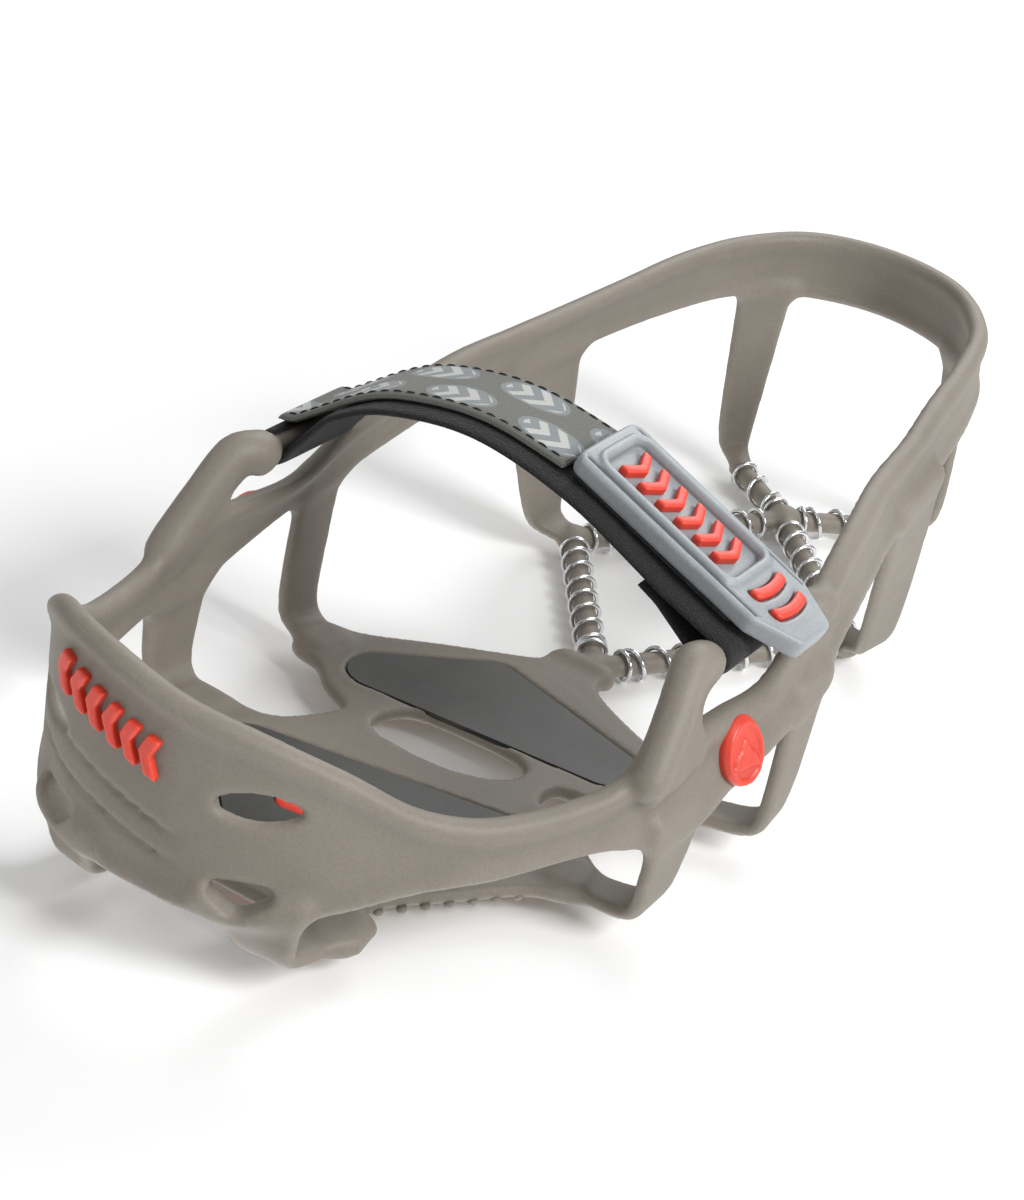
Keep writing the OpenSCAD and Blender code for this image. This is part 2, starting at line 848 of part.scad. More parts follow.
// A row of raised bars on the lateral front of the toe band
module toe_emblem() {
    color([0.93, 0.27, 0.2])
        difference() {
            for (i = [0 : 6])
                translate([across(1 + i * 3.8), forward(311.3 - 0.02 * i * i), 48 + i * 1.4])
                    rotate([0, 8, -2 * i])
                        cube([2.6, 4.4, 8], center = true);
            band(toe_stations, 3);
        }
}

module badge(p, a) {
    translate([across(p[0]), forward(p[1]), p[2]])
        rotate([0, a, 0])
            linear_extrude(3.6, center = true)
                scale([1, 0.85])
                    circle(r = 7.5);
}

module lateral_badge() {
    color([0.93, 0.27, 0.2])
        difference() {
            badge([-71, 204, 42], -90 + 16);
            band(lateral_stations, 3);
        }
}

module medial_badge() {
    color([0.93, 0.27, 0.2])
        difference() {
            badge([63, 204, 42], 90 - 16);
            band(medial_stations, 3);
        }
}

toe_band();
lateral_band();
medial_band();
heel_band();
lateral_strap_loop();
medial_strap_loop();
front_sole_plate();
rear_sole_plate();
toe_lateral_arm();
toe_medial_arm();
front_lateral_arm();
front_medial_arm();
rear_lateral_arm();
rear_medial_arm();
heel_lateral_web();
heel_medial_web();
heel_lateral_riser();
heel_medial_riser();
plate_hub();
lateral_hub();
medial_hub();
heel_hub();
cord_front_lateral();
cord_front_medial();
cord_rear_lateral();
cord_rear_medial();
cord_end_lateral();
cord_end_medial();
front_insert_plate();
rear_insert_plate();
grommet();
front_stud_bosses();
rear_stud_bosses();
stud_collars();
carbide_pins();
coil_front_lateral();
coil_front_medial();
coil_rear_lateral();
coil_rear_medial();
coil_end_lateral();
coil_end_medial();
base_strap();
upper_strap();
pull_tab();
hook_patch();
tab_inlay();
tab_grip_bars();
toe_emblem();
lateral_badge();
medial_badge();
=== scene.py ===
"""Looks of a shoe ice cleat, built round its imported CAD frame.

The cleat is a moulded elastomer harness with studs, wire coils and a strap. Lengths in
the layout are millimetres from the heel end of the sole and the middle of the heel, and
they are turned into metres in the shared frame as each mesh is made.
"""

import logging
import math
from dataclasses import dataclass, field
from enum import Enum

import bpy
import numpy as np
from mathutils import Matrix, Vector

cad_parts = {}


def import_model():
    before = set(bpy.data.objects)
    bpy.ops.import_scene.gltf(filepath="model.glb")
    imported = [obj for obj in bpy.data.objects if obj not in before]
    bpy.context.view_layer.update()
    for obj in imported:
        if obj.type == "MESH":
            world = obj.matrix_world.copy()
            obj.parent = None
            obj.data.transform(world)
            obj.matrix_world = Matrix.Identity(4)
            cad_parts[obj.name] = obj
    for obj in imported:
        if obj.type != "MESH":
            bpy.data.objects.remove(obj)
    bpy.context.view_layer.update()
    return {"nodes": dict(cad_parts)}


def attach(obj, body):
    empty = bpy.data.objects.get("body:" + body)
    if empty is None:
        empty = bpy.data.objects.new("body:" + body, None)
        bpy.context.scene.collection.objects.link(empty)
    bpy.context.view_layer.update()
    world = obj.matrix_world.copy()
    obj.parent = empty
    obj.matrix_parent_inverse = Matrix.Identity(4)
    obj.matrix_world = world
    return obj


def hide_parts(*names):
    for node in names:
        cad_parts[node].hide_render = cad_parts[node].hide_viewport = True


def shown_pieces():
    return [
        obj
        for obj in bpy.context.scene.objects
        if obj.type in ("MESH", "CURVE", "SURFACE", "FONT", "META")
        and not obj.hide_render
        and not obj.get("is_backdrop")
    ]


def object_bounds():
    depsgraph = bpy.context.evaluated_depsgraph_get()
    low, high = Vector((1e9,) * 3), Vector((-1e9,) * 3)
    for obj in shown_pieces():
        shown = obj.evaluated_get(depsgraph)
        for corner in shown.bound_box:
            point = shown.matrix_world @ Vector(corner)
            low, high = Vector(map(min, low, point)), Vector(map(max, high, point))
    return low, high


LOG = logging.getLogger("cleat")
MILLIMETRE = 0.001
# Millimetres that stand for far away, and the least length that is divided by
FAR = 1e9
TINY = 1e-9
# Distance that an empty field holds
EMPTY = 20.0
# Least radius of a turned piece, where its profile meets the axis
AXIS_R = 0.01
UP = np.array([0.0, 0.0, 1.0])


class Body(Enum):
    """Moving bodies of the frame."""

    HARNESS = "harness"
    STRAP = "strap"
    TAB = "tab"


class Slot(Enum):
    """Material slots of the record."""

    ELASTOMER = "elastomer"
    NYLON = "stiff_nylon"
    RED_PLASTIC = "red_plastic"
    COLLAR = "collar_steel"
    CARBIDE = "carbide"
    COIL = "coil_steel"
    BLACK_WEBBING = "black_webbing"
    PRINTED_WEBBING = "printed_webbing"
    TAB = "grey_moulding"
    HOOKS = "hook_tape"
    RED_RUBBER = "red_rubber"


@dataclass(frozen=True)
class Layout:
    """Sizes and places that the looks share with the CAD source."""

    middle: tuple[float, float] = (-4.2, 154.5)
    band_t: float = 3.4
    seat_z: float = 8.5
    plate_z: float = 5.1
    plate_mid: float = 6.8
    cord_z: float = 4.25
    cord_r: float = 2.8
    coil_r: float = 4.25
    wire_r: float = 0.6
    coil_pitch: float = 7.0
    arm_w: float = 10.0
    front_studs: tuple = ((-32, 226), (31, 238), (1, 269))
    rear_studs: tuple = ((-32, 185), (8, 173), (28, 190))
    grommet_at: tuple = (1.7, 244)
    node_a: tuple = (-4, 143)
    node_b: tuple = (-43, 80)
    node_c: tuple = (35, 89)
    node_d: tuple = (1, 31)
    node_e: tuple = (-25, 8)
    node_f: tuple = (25, 12)
    strap_y: float = 190.5
    base_y: float = 194.0
    lateral_bar: tuple = (-60, 59.5)
    medial_bar: tuple = (55, 62)
    bar_r: float = 2.5
    strap_t: float = 1.8
    strap_w: float = 25.0
    base_w: float = 29.0
    gap: float = 0.3
    instep: tuple = ((-46, 68.4), (-20, 80), (5, 85), (28, 81.5), (42, 74))
    tab_at: tuple = (-18, 88.6)
    tab_len: float = 62.0
    tab_fall: float = 24.0
    tab_t: float = 4.6
    patch_t: float = 1.2
    # Plan x and y of the bands, heights of their lower and upper edges, and their lean
    stations: tuple = (
        (-60, 248, 31, 43, 1), (-51, 270, 31, 43, 1), (-41, 283, 29, 46, 1),
        (-30, 294, 24, 54, 1), (-17, 303, 20, 60, 1), (0, 309, 20, 65, 0),
        (20, 308, 20, 70, -1), (33, 302, 21, 69, -1), (44, 289, 25, 58, 0),
        (53, 270, 30, 46, 1), (58.5, 248, 31, 43, 1), (61, 238, 29, 47, 3),
        (62.5, 224, 28, 49, 4), (62, 208, 33, 49, 5), (61, 192, 38, 49.5, 5),
        (59, 176, 42, 58, 5), (56, 160, 48, 64, 5), (54, 140, 52, 68, 5),
        (52, 118, 53, 69, 5), (49, 95, 54, 70, 4), (46, 72, 56, 72, 4),
        (42, 46, 57, 74, 3), (35, 22, 58, 75, 2), (21, 4, 58, 76, 1),
        (0, -3, 58, 76, 1), (-22, 4, 58, 76, 1), (-38, 22, 58, 75, 2),
        (-46, 46, 57, 74, 3), (-51, 72, 56, 72, 4), (-55, 95, 54, 70, 4),
        (-59, 118, 53, 69, 5), (-64, 140, 52, 68, 5), (-68, 160, 48, 64, 5),
        (-71, 176, 42, 58, 5), (-71.5, 192, 38, 49.5, 5), (-70, 208, 33, 49, 5),
        (-68, 222, 28, 49, 4), (-65, 236, 29, 47, 3))
    plate: tuple = (
        (-18, 279), (-8, 280.5), (8, 280.5), (18, 279), (25, 281), (31, 277),
        (27, 265), (35, 255), (42, 243), (51, 238), (52, 227), (39, 226), (32, 223),
        (26, 214), (25, 208), (34, 203), (41, 197), (50, 194), (48, 183), (38, 177),
        (25, 168), (12, 160), (5, 155), (3, 149), (-11, 149), (-11, 154), (-14, 159),
        (-24, 165), (-39, 172), (-50, 177), (-54, 187), (-37, 198), (-28, 201),
        (-28, 209), (-37, 212), (-48, 220), (-51, 232), (-43, 238), (-34, 250),
        (-25, 262), (-23, 270), (-29, 279), (-23, 284))
    front_pad: tuple = (
        (-41, 228), (-39, 219), (-33, 216), (-27, 216.5), (-14, 220.5), (1, 224),
        (15, 226.5), (26, 227.6), (32, 228.5), (36, 231), (40, 237), (37.5, 243),
        (32, 248.5), (27, 254), (19.5, 261), (13, 268), (7.5, 275.5), (1, 278),
        (-5, 276), (-8, 272), (-14.5, 260.5), (-20, 251), (-27, 242), (-37, 233))
    rear_pad: tuple = (
        (-41, 184), (-37, 193), (-26, 193), (-15, 189), (1, 188), (15, 195),
        (23, 199), (29, 200), (34, 197), (37, 191), (35, 184), (30, 177), (24, 171),
        (15, 165), (5, 161), (-1, 160), (-8, 162), (-15, 165), (-25, 170), (-35, 174),
        (-39, 178))

    @property
    def layer(self) -> float:
        """Distance from one strap layer's middle to the next."""
        return self.strap_t + self.gap

    @property
    def wrap(self) -> float:
        """Radius of a strap's middle line round a bar."""
        return self.bar_r + self.gap / 2 + self.strap_t / 2

    @property
    def studs(self) -> tuple:
        """Places of all six studs."""
        return self.front_studs + self.rear_studs


LAY = Layout()


def to_row(points: np.ndarray) -> np.ndarray:
    """Turns layout millimetres into metres in the shared frame.

    Args:
        points: Layout points, with x, y and z last.

    Returns:
        The same points in metres, about the frame's origin.
    """
    shift = np.array([LAY.middle[0], LAY.middle[1], 0.0])
    return (np.asarray(points, dtype=float) - shift) * MILLIMETRE


def unit(vectors: np.ndarray) -> np.ndarray:
    """Scales vectors to length one.

    Args:
        vectors: Any array with the vector's parts last.

    Returns:
        The unit vectors.
    """
    length = np.linalg.norm(vectors, axis=-1, keepdims=True)
    return vectors / np.maximum(length, TINY)


def left_of(along: np.ndarray) -> np.ndarray:
    """Turns plane vectors a quarter turn anticlockwise."""
    return np.column_stack([-along[:, 1], along[:, 0]])


def run_along(line: np.ndarray) -> np.ndarray:
    """Measures the length of a line up to each of its points."""
    return np.concatenate([[0], np.cumsum(np.linalg.norm(np.diff(line, axis=0), axis=1))])


def relax(line: np.ndarray, times: int) -> np.ndarray:
    """Evens out a line's bends and keeps its ends.

    Args:
        line: Points, one a row.
        times: How often each point moves towards its neighbours.

    Returns:
        The evened points.
    """
    line = line.copy()
    for _ in range(times):
        line[1:-1] = 0.25 * line[:-2] + 0.5 * line[1:-1] + 0.25 * line[2:]
    return line


def smooth_line(points: np.ndarray, steps: int, closed: bool = False) -> np.ndarray:
    """Runs a smooth curve through points, the way the CAD source does.

    Args:
        points: Control points, one a row.
        steps: Parts between two neighbours.
        closed: Whether the curve returns to its start.

    Returns:
        Points along the curve.
    """
    p = np.asarray(points, dtype=float)
    if closed:
        before, after, last = np.roll(p, 1, 0), np.roll(p, -1, 0), np.roll(p, -2, 0)
        start = p
    else:
        start, after = p[:-1], p[1:]
        before = np.vstack([p[:1], p[:-2]])
        last = np.vstack([p[2:], p[-1:]])
    u = (np.arange(steps) / steps)[None, :, None]
    a, b, c, d = before[:, None], start[:, None], after[:, None], last[:, None]
    curve = 0.5 * (2 * b + (c - a) * u + (2 * a - 5 * b + 4 * c - d) * u**2)
    curve = curve + 0.5 * (3 * b - a - 3 * c + d) * u**3
    curve = curve.reshape(-1, p.shape[1])
    return curve if closed else np.vstack([curve, p[-1:]])


def polygon_distance(x: np.ndarray, y: np.ndarray, points: np.ndarray) -> np.ndarray:
    """Measures the distance from a closed outline, negative inside it.

    Args:
        x: Across places.
        y: Forward places, of the same shape.
        points: Corners of the outline, one a row.

    Returns:
        Signed distance, of the shape of x and y.
    """
    nearest = np.full(np.broadcast(x, y).shape, FAR)
    inside = np.zeros(nearest.shape, dtype=bool)
    p = np.asarray(points, dtype=float)
    for a, b in zip(p, np.roll(p, -1, 0)):
        edge = b - a
        px, py = x - a[0], y - a[1]
        t = np.clip((px * edge[0] + py * edge[1]) / max(edge @ edge, TINY), 0, 1)
        nearest = np.minimum(nearest, (px - t * edge[0]) ** 2 + (py - t * edge[1]) ** 2)
        crosses = (a[1] > y) != (b[1] > y)
        rise = edge[1] if abs(edge[1]) > TINY else TINY
        inside ^= crosses & (x < a[0] + edge[0] * (y - a[1]) / rise)
    return np.where(inside, -1, 1) * np.sqrt(nearest)


def plan_distance(grid: tuple, points: np.ndarray) -> np.ndarray:
    """Measures the distance from an outline in plan, over a field's grid.

    Args:
        grid: Open coordinate arrays.
        points: Corners of the outline, one a row.

    Returns:
        Signed distance, with one height.
    """
    return polygon_distance(grid[0][..., 0], grid[1][..., 0], points)[..., None]


def rounded_slab(flat: np.ndarray, up: np.ndarray, radius: float) -> np.ndarray:
    """Joins a distance in plan and one in height into a slab with rounded edges.

    Args:
        flat: Signed distance in plan.
        up: Signed distance in height.
        radius: Radius of the edges.

    Returns:
        Signed distance of the slab.
    """
    a, b = flat + radius, up + radius
    corner = np.hypot(np.maximum(a, 0), np.maximum(b, 0))
    return corner + np.minimum(np.maximum(a, b), 0) - radius


def chevron_row(x: np.ndarray, y: np.ndarray, tips: tuple, slope: float, half: float,
                reach: float) -> np.ndarray:
    """Measures a row of six chevrons.

    Args:
        x: Places along the row.
        y: Places across it.
        tips: Place of the first chevron's tip, and distance to the next.
        slope: How far the legs lean back.
        half: Half the width of a leg.
        reach: How far the legs reach to each side.

    Returns:
        Signed distance.
    """
    near = np.full(np.broadcast(x, y).shape, FAR)
    for i in range(6):
        leg = x - tips[0] - i * tips[1] + slope * np.abs(y)
        mark = rounded_slab((np.abs(leg) - half) * 0.9, np.abs(y) - reach, 0.4)
        near = np.minimum(near, mark)
    return near


def triangle_distance(p: np.ndarray, corners: np.ndarray) -> np.ndarray:
    """Measures the distance to a triangle in space.

    Args:
        p: Points, with x, y and z last.
        corners: The three corners, one a row.

    Returns:
        Distances, without the last axis of p.
    """
    a, b, c = corners
    normal = np.cross(b - a, a - c)
    ways = ((b - a, p - a), (c - b, p - b), (a - c, p - c))
    sides = sum(np.sign((q * np.cross(e, normal)).sum(-1)) for e, q in ways)
    rim = np.full(p.shape[:-1], FAR**2)
    for e, q in ways:
        t = np.clip((q * e).sum(-1) / max(e @ e, TINY), 0, 1)
        rim = np.minimum(rim, ((e * t[..., None] - q) ** 2).sum(-1))
    face = (q @ normal) ** 2 / max(normal @ normal, TINY)
    return np.sqrt(np.where(sides < 2, rim, face))


@dataclass
class Field:
    """A solid held as signed distances on a grid, in layout millimetres.

    Attributes:
        low: Lowest corner.
        high: Highest corner.
        step: Distance between grid points.
    """

    low: tuple
    high: tuple
    step: float
    value: np.ndarray = field(init=False, repr=False)
    axes: list = field(init=False, repr=False)

    def __post_init__(self) -> None:
        """Lays the grid out, with nothing in it."""
        self.axes = [np.arange(a, b + self.step, self.step) for a, b in zip(self.low, self.high)]
        self.value = np.full([len(a) for a in self.axes], EMPTY, dtype=np.float32)

    def window(self, low: np.ndarray, high: np.ndarray) -> tuple:
        """Finds the part of the grid inside a box.

        Args:
            low: Lowest corner of the box.
            high: Highest corner of the box.

        Returns:
            Slices of the grid, and its coordinates there as open arrays.
        """
        cut = []
        for axis, a, b in zip(self.axes, low, high):
            first = int(np.clip(np.searchsorted(axis, a) - 1, 0, len(axis) - 1))
            last = int(np.clip(np.searchsorted(axis, b) + 1, first + 1, len(axis)))
            cut.append(slice(first, last))
        parts = [axis[c] for axis, c in zip(self.axes, cut)]
        grid = (parts[0][:, None, None], parts[1][None, :, None], parts[2][None, None, :])
        return tuple(cut), grid

    def whole(self) -> tuple:
        """Gives the whole grid as window() does."""
        return self.window(self.low, self.high)

    def add(self, cut: tuple, distance: np.ndarray, blend: float) -> None:
        """Adds a solid with a fillet where it meets what is there.

        Args:
            cut: Slices of the grid that distance covers.
            distance: Signed distance of the solid.
            blend: Size of the fillet.
        """
        old = self.value[cut]
        near = np.maximum(blend - np.abs(old - distance), 0) / blend
        self.value[cut] = np.minimum(old, distance) - near**2 * blend / 4

    def take(self, cut: tuple, distance: np.ndarray, blend: float) -> None:
        """Takes a solid away and rounds the edge that is left.

        Args:
            cut: Slices of the grid that distance covers.
            distance: Signed distance of the solid.
            blend: Size of the rounding.
        """
        old = self.value[cut]
        near = np.maximum(blend - np.abs(old + distance), 0) / blend
        self.value[cut] = np.maximum(old, -distance) + near**2 * blend / 4

    def add_capsule(self, p: np.ndarray, q: np.ndarray, radius: float, blend: float) -> None:
        """Adds a rod with round ends.

        Args:
            p: One end.
            q: The other end.
            radius: Radius of the rod.
            blend: Size of the fillet.
        """
        p, q = np.asarray(p, float), np.asarray(q, float)
        room = radius + blend + 2
        cut, (x, y, z) = self.window(np.minimum(p, q) - room, np.maximum(p, q) + room)
        d = q - p
        dx, dy, dz = x - p[0], y - p[1], z - p[2]
        t = np.clip((dx * d[0] + dy * d[1] + dz * d[2]) / max(d @ d, TINY), 0, 1)
        far = np.sqrt((dx - t * d[0]) ** 2 + (dy - t * d[1]) ** 2 + (dz - t * d[2]) ** 2)
        self.add(cut, far - radius, blend)

    def add_rod(self, line: np.ndarray, radius: float, blend: float) -> None:
        """Adds a rod along a bent line.

        Args:
            line: Points along it.
            radius: Radius of the rod.
            blend: Size of the fillet.
        """
        for p, q in zip(line[:-1], line[1:]):
            self.add_capsule(p, q, radius, blend)

    def add_ribbon(self, left: np.ndarray, right: np.ndarray, radius: float, blend: float) -> None:
        """Adds a curved sheet between two rails.

        Args:
            left: Points of one rail.
            right: Points of the other rail.
            radius: Half the sheet's thickness.
            blend: Size of the fillet.
        """
        both = np.vstack([left, right])
        room = radius + blend + 2
        cut, (x, y, z) = self.window(both.min(0) - room, both.max(0) + room)
        p = np.stack(np.broadcast_arrays(x, y, z), -1)
        nearest = np.full(p.shape[:-1], FAR)
        for a, b, c, d in zip(left[:-1], right[:-1], left[1:], right[1:]):
            for corners in ((a, b, c), (b, d, c)):
                nearest = np.minimum(nearest, triangle_distance(p, np.array(corners)))
        self.add(cut, nearest - radius, blend)

    def sample(self, points: np.ndarray) -> np.ndarray:
        """Reads the field between its grid points.

        Args:
            points: Places, one a row.

        Returns:
            The field there.
        """
        g = (points - np.array([a[0] for a in self.axes])) / self.step
        top = np.array(self.value.shape) - 2
        i = np.clip(np.floor(g).astype(int), 0, top)
        f = np.clip(g - i, 0, 1)
        out = np.zeros(len(points))
        for corner in np.ndindex(2, 2, 2):
            weight = np.prod(np.where(corner, f, 1 - f), axis=1)
            j = i + corner
            out += weight * self.value[j[:, 0], j[:, 1], j[:, 2]]
        return out

    def surface(self) -> tuple:
        """Draws a closed mesh of four-sided faces round the solid.

        Each grid cell that the surface crosses gets one vertex, at the mean of the
        crossings on its edges, and each crossed edge joins the four cells about it.

        Returns:
            Vertices in layout millimetres, and faces with outward normals.
        """
        v = self.value
        inside = v < 0
        cells = tuple(n - 1 for n in v.shape)
        total = np.zeros(cells + (3,), dtype=np.float32)
        count = np.zeros(cells, dtype=np.float32)
        crossed = []
        for axis in range(3):
            lo = [slice(None)] * 3
            hi = [slice(None)] * 3
            lo[axis], hi[axis] = slice(None, -1), slice(1, None)
            where = np.argwhere(inside[tuple(lo)] != inside[tuple(hi)])
            step = np.eye(3, dtype=int)[axis]
            a = v[tuple(where.T)]
            b = v[tuple((where + step).T)]
            place = where + (a / (a - b))[:, None] * step
            others = [k for k in range(3) if k != axis]
            for du, dv in ((0, 0), (1, 0), (0, 1), (1, 1)):
                cell = where.copy()
                cell[:, others[0]] -= du
                cell[:, others[1]] -= dv
                key = tuple(cell.T)
                np.add.at(total, key, place)
                np.add.at(count, key, 1)
            crossed.append((axis, where, a < 0))
        used = count > 0
        index = np.full(cells, -1)
        index[used] = np.arange(int(used.sum()))
        verts = total[used] / count[used][:, None]
        faces = []
        for axis, where, outward in crossed:
            u, w = (axis + 1) % 3, (axis + 2) % 3
            ring = []
            for du, dw in ((1, 1), (0, 1), (0, 0), (1, 0)):
                cell = where.copy()
                cell[:, u] -= du
                cell[:, w] -= dw
                ring.append(index[tuple(cell.T)])
            quad = np.stack(ring, 1)
            faces.append(np.where(outward[:, None], quad, quad[:, ::-1]))
        start = np.array([a[0] for a in self.axes])
        verts = start + verts * self.step
        return self.settle(verts), np.vstack(faces)

    def settle(self, verts: np.ndarray) -> np.ndarray:
        """Moves vertices onto the surface along the field's slope.

        Args:
            verts: Vertices near the surface.

        Returns:
            Vertices on it.
        """
        eps = self.step * 0.5
        for _ in range(2):
            slope = np.stack(
                [self.sample(verts + eps * e) - self.sample(verts - eps * e) for e in np.eye(3)], 1)
            slope = slope / (2 * eps)
            steep = np.maximum((slope**2).sum(1), 0.15)
            move = -(self.sample(verts) / steep)[:, None] * slope
            verts = verts + np.clip(move, -0.4 * self.step, 0.4 * self.step)
        return verts


def loft(rings: np.ndarray, closed: bool = False) -> tuple:
    """Joins rings of points into a closed skin.

    Args:
        rings: Points as ring, place in the ring, and x, y, z.
        closed: Whether the last ring joins the first.

    Returns:
        Vertices, and four-sided faces one a row.
    """
    n, m = rings.shape[:2]
    i = np.arange(n if closed else n - 1)[:, None]
    k = np.arange(m)[None, :]
    j, k2 = (i + 1) % n, (k + 1) % m
    quads = np.stack(np.broadcast_arrays(i * m + k, i * m + k2, j * m + k2, j * m + k), -1)
    return rings.reshape(-1, 3), quads.reshape(-1, 4)


def capped(rings: np.ndarray) -> tuple:
    """Lofts rings and closes both ends with fans of triangles about their middles.

    Args:
        rings: Points as ring, place in the ring, and x, y, z.

    Returns:
        Vertices, and faces as an array of tuples.
    """
    verts, quads = loft(rings)
    n, m = rings.shape[:2]
    verts = np.vstack([verts, rings[0].mean(0), rings[-1].mean(0)])
    k = np.arange(m)
    k2 = (k + 1) % m
    first = np.stack([np.full(m, n * m), k2, k], 1)
    last = np.stack([np.full(m, n * m + 1), (n - 1) * m + k, (n - 1) * m + k2], 1)
    faces = np.empty(len(quads) + 2 * m, dtype=object)
    faces[:] = [tuple(face) for part in (quads, first, last) for face in part.tolist()]
    return verts, faces


def tube(path: np.ndarray, side: np.ndarray, up: np.ndarray, radius: np.ndarray,
         sides: int) -> tuple:
    """Sweeps a round section along a path and closes its ends.

    Args:
        path: Points along the middle.
        side: One unit vector across the path at each point.
        up: The other one.
        radius: Radius at each point.
        sides: Number of sides.

    Returns:
        Vertices and faces.
    """
    w = np.linspace(0, 2 * np.pi, sides, endpoint=False)
    ring = side[:, None] * np.cos(w)[None, :, None] + up[:, None] * np.sin(w)[None, :, None]
    return capped(path[:, None] + ring * np.asarray(radius)[:, None, None])


def gather(parts: list) -> tuple:
    """Joins several meshes into one.

    Args:
        parts: Pairs of vertices and faces.

    Returns:
        Vertices and faces of all of them.
    """
    verts, faces, start = [], [], 0
    for v, f in parts:
        verts.append(v)
        faces.extend([tuple(int(i) + start for i in face) for face in f])
        start += len(v)
    both = np.empty(len(faces), dtype=object)
    both[:] = faces
    return np.vstack(verts), both


@dataclass(frozen=True)
class Finish:
    """What a plain finish looks like.

    Attributes:
        name: Name of the material.
        colour: Main colour, linear.
        second: Colour of the variation, linear.
        rough: Roughness.
        metallic: How metallic it is.
        grain: Grains to a metre of the fine texture.
        relief: Height of the fine texture, in metres.
        cloud: Patches to a metre of the colour variation.
        coat: Weight of the clear coat.
    """

    name: str
    colour: tuple
    second: tuple
    rough: float
    metallic: float = 0.0
    grain: float = 900.0
    relief: float = 0.00005
    cloud: float = 25.0
    coat: float = 0.0


class Graph:
    """The node tree of one material."""

    def __init__(self, name: str, flat: str = "") -> None:
        """Starts a material.

        Args:
            name: Its name.
            flat: Name of the flat coordinates that it reads, if not the object's own.
        """
        self.material = bpy.data.materials.new(name)
        self.material.use_nodes = True
        self.tree = self.material.node_tree
        self.shader = self.tree.nodes["Principled BSDF"]
        if flat:
            self.place = self.node("UVMap", uv_map=flat).outputs[0]
        else:
            self.place = self.node("TexCoord").outputs["Object"]

    def feed(self, node: bpy.types.Node, inputs: dict) -> None:
        """Sets or joins a node's inputs.

        Args:
            node: The node.
            inputs: A constant or another node's socket for each name or number.
        """
        for key, value in inputs.items():
            if isinstance(value, bpy.types.NodeSocket):
                self.tree.links.new(value, node.inputs[key])
            else:
                node.inputs[key].default_value = value

    def node(self, kind: str, inputs: dict | None = None, **settings: str) -> bpy.types.Node:
        """Adds a node.

        Args:
            kind: Blender's name of the node, without ShaderNode before it.
            inputs: What feed() takes.
            **settings: Settings by their name.

        Returns:
            The node.
        """
        made = self.tree.nodes.new(f"ShaderNode{kind}")
        for key, value in settings.items():
            setattr(made, key, value)
        self.feed(made, inputs or {})
        return made

    def math(self, operation: str, first: object, second: object = 0.0) -> bpy.types.NodeSocket:
        """Reckons with two values, each a number or another node's socket.

        Args:
            operation: Blender's name of the operation.
            first: First value.
            second: Second value.

        Returns:
            The result's socket.
        """
        return self.node("Math", {0: first, 1: second}, operation=operation).outputs[0]

    def noise(self, scale: float, detail: float, rough: float = 0.5) -> bpy.types.NodeSocket:
        """Adds a noise.

        Args:
            scale: Patches to a metre.
            detail: How many finer noises it holds.
            rough: How strong they are.

        Returns:
            Its value's socket.
        """
        return self.node("TexNoise", {"Vector": self.place, "Scale": scale, "Detail": detail,
                                      "Roughness": rough}).outputs[0]

    def mix(self, share: object, first: object, second: object,
            blend: str = "MIX") -> bpy.types.NodeSocket:
        """Mixes two colours.

        Args:
            share: How much the second counts.
            first: First colour.
            second: Second colour.
            blend: Blender's name of the way to mix.

        Returns:
            The mixed colour's socket.
        """
        made = self.node("Mix", {0: share, 6: first, 7: second}, data_type="RGBA",
                         blend_type=blend)
        return made.outputs[2]

    def ramp(self, source: bpy.types.NodeSocket, low: float, high: float, first: tuple,
             second: tuple) -> bpy.types.NodeSocket:
        """Turns a value into a colour between two.

        Args:
            source: Where the value comes from.
            low: Value that gives the first colour.
            high: Value that gives the second.
            first: First colour.
            second: Second colour.

        Returns:
            The colour's socket.
        """
        made = self.node("ValToRGB", {0: source})
        for element, position, colour in zip(made.color_ramp.elements, (low, high),
                                             (first, second)):
            element.position = position
            element.color = (*colour, 1)
        return made.outputs[0]

    def finish(self, height: bpy.types.NodeSocket, strength: float, relief: float,
               inputs: dict) -> bpy.types.Material:
        """Feeds the shader, with a fine texture.

        Args:
            height: Height of the texture.
            strength: How strongly it shows.
            relief: Its full height, in metres.
            inputs: What feed() takes, for the shader.

        Returns:
            The material.
        """
        bump = self.node("Bump", {"Height": height, "Strength": strength, "Distance": relief})
        self.feed(self.shader, {**inputs, "Normal": bump.outputs[0]})
        return self.material


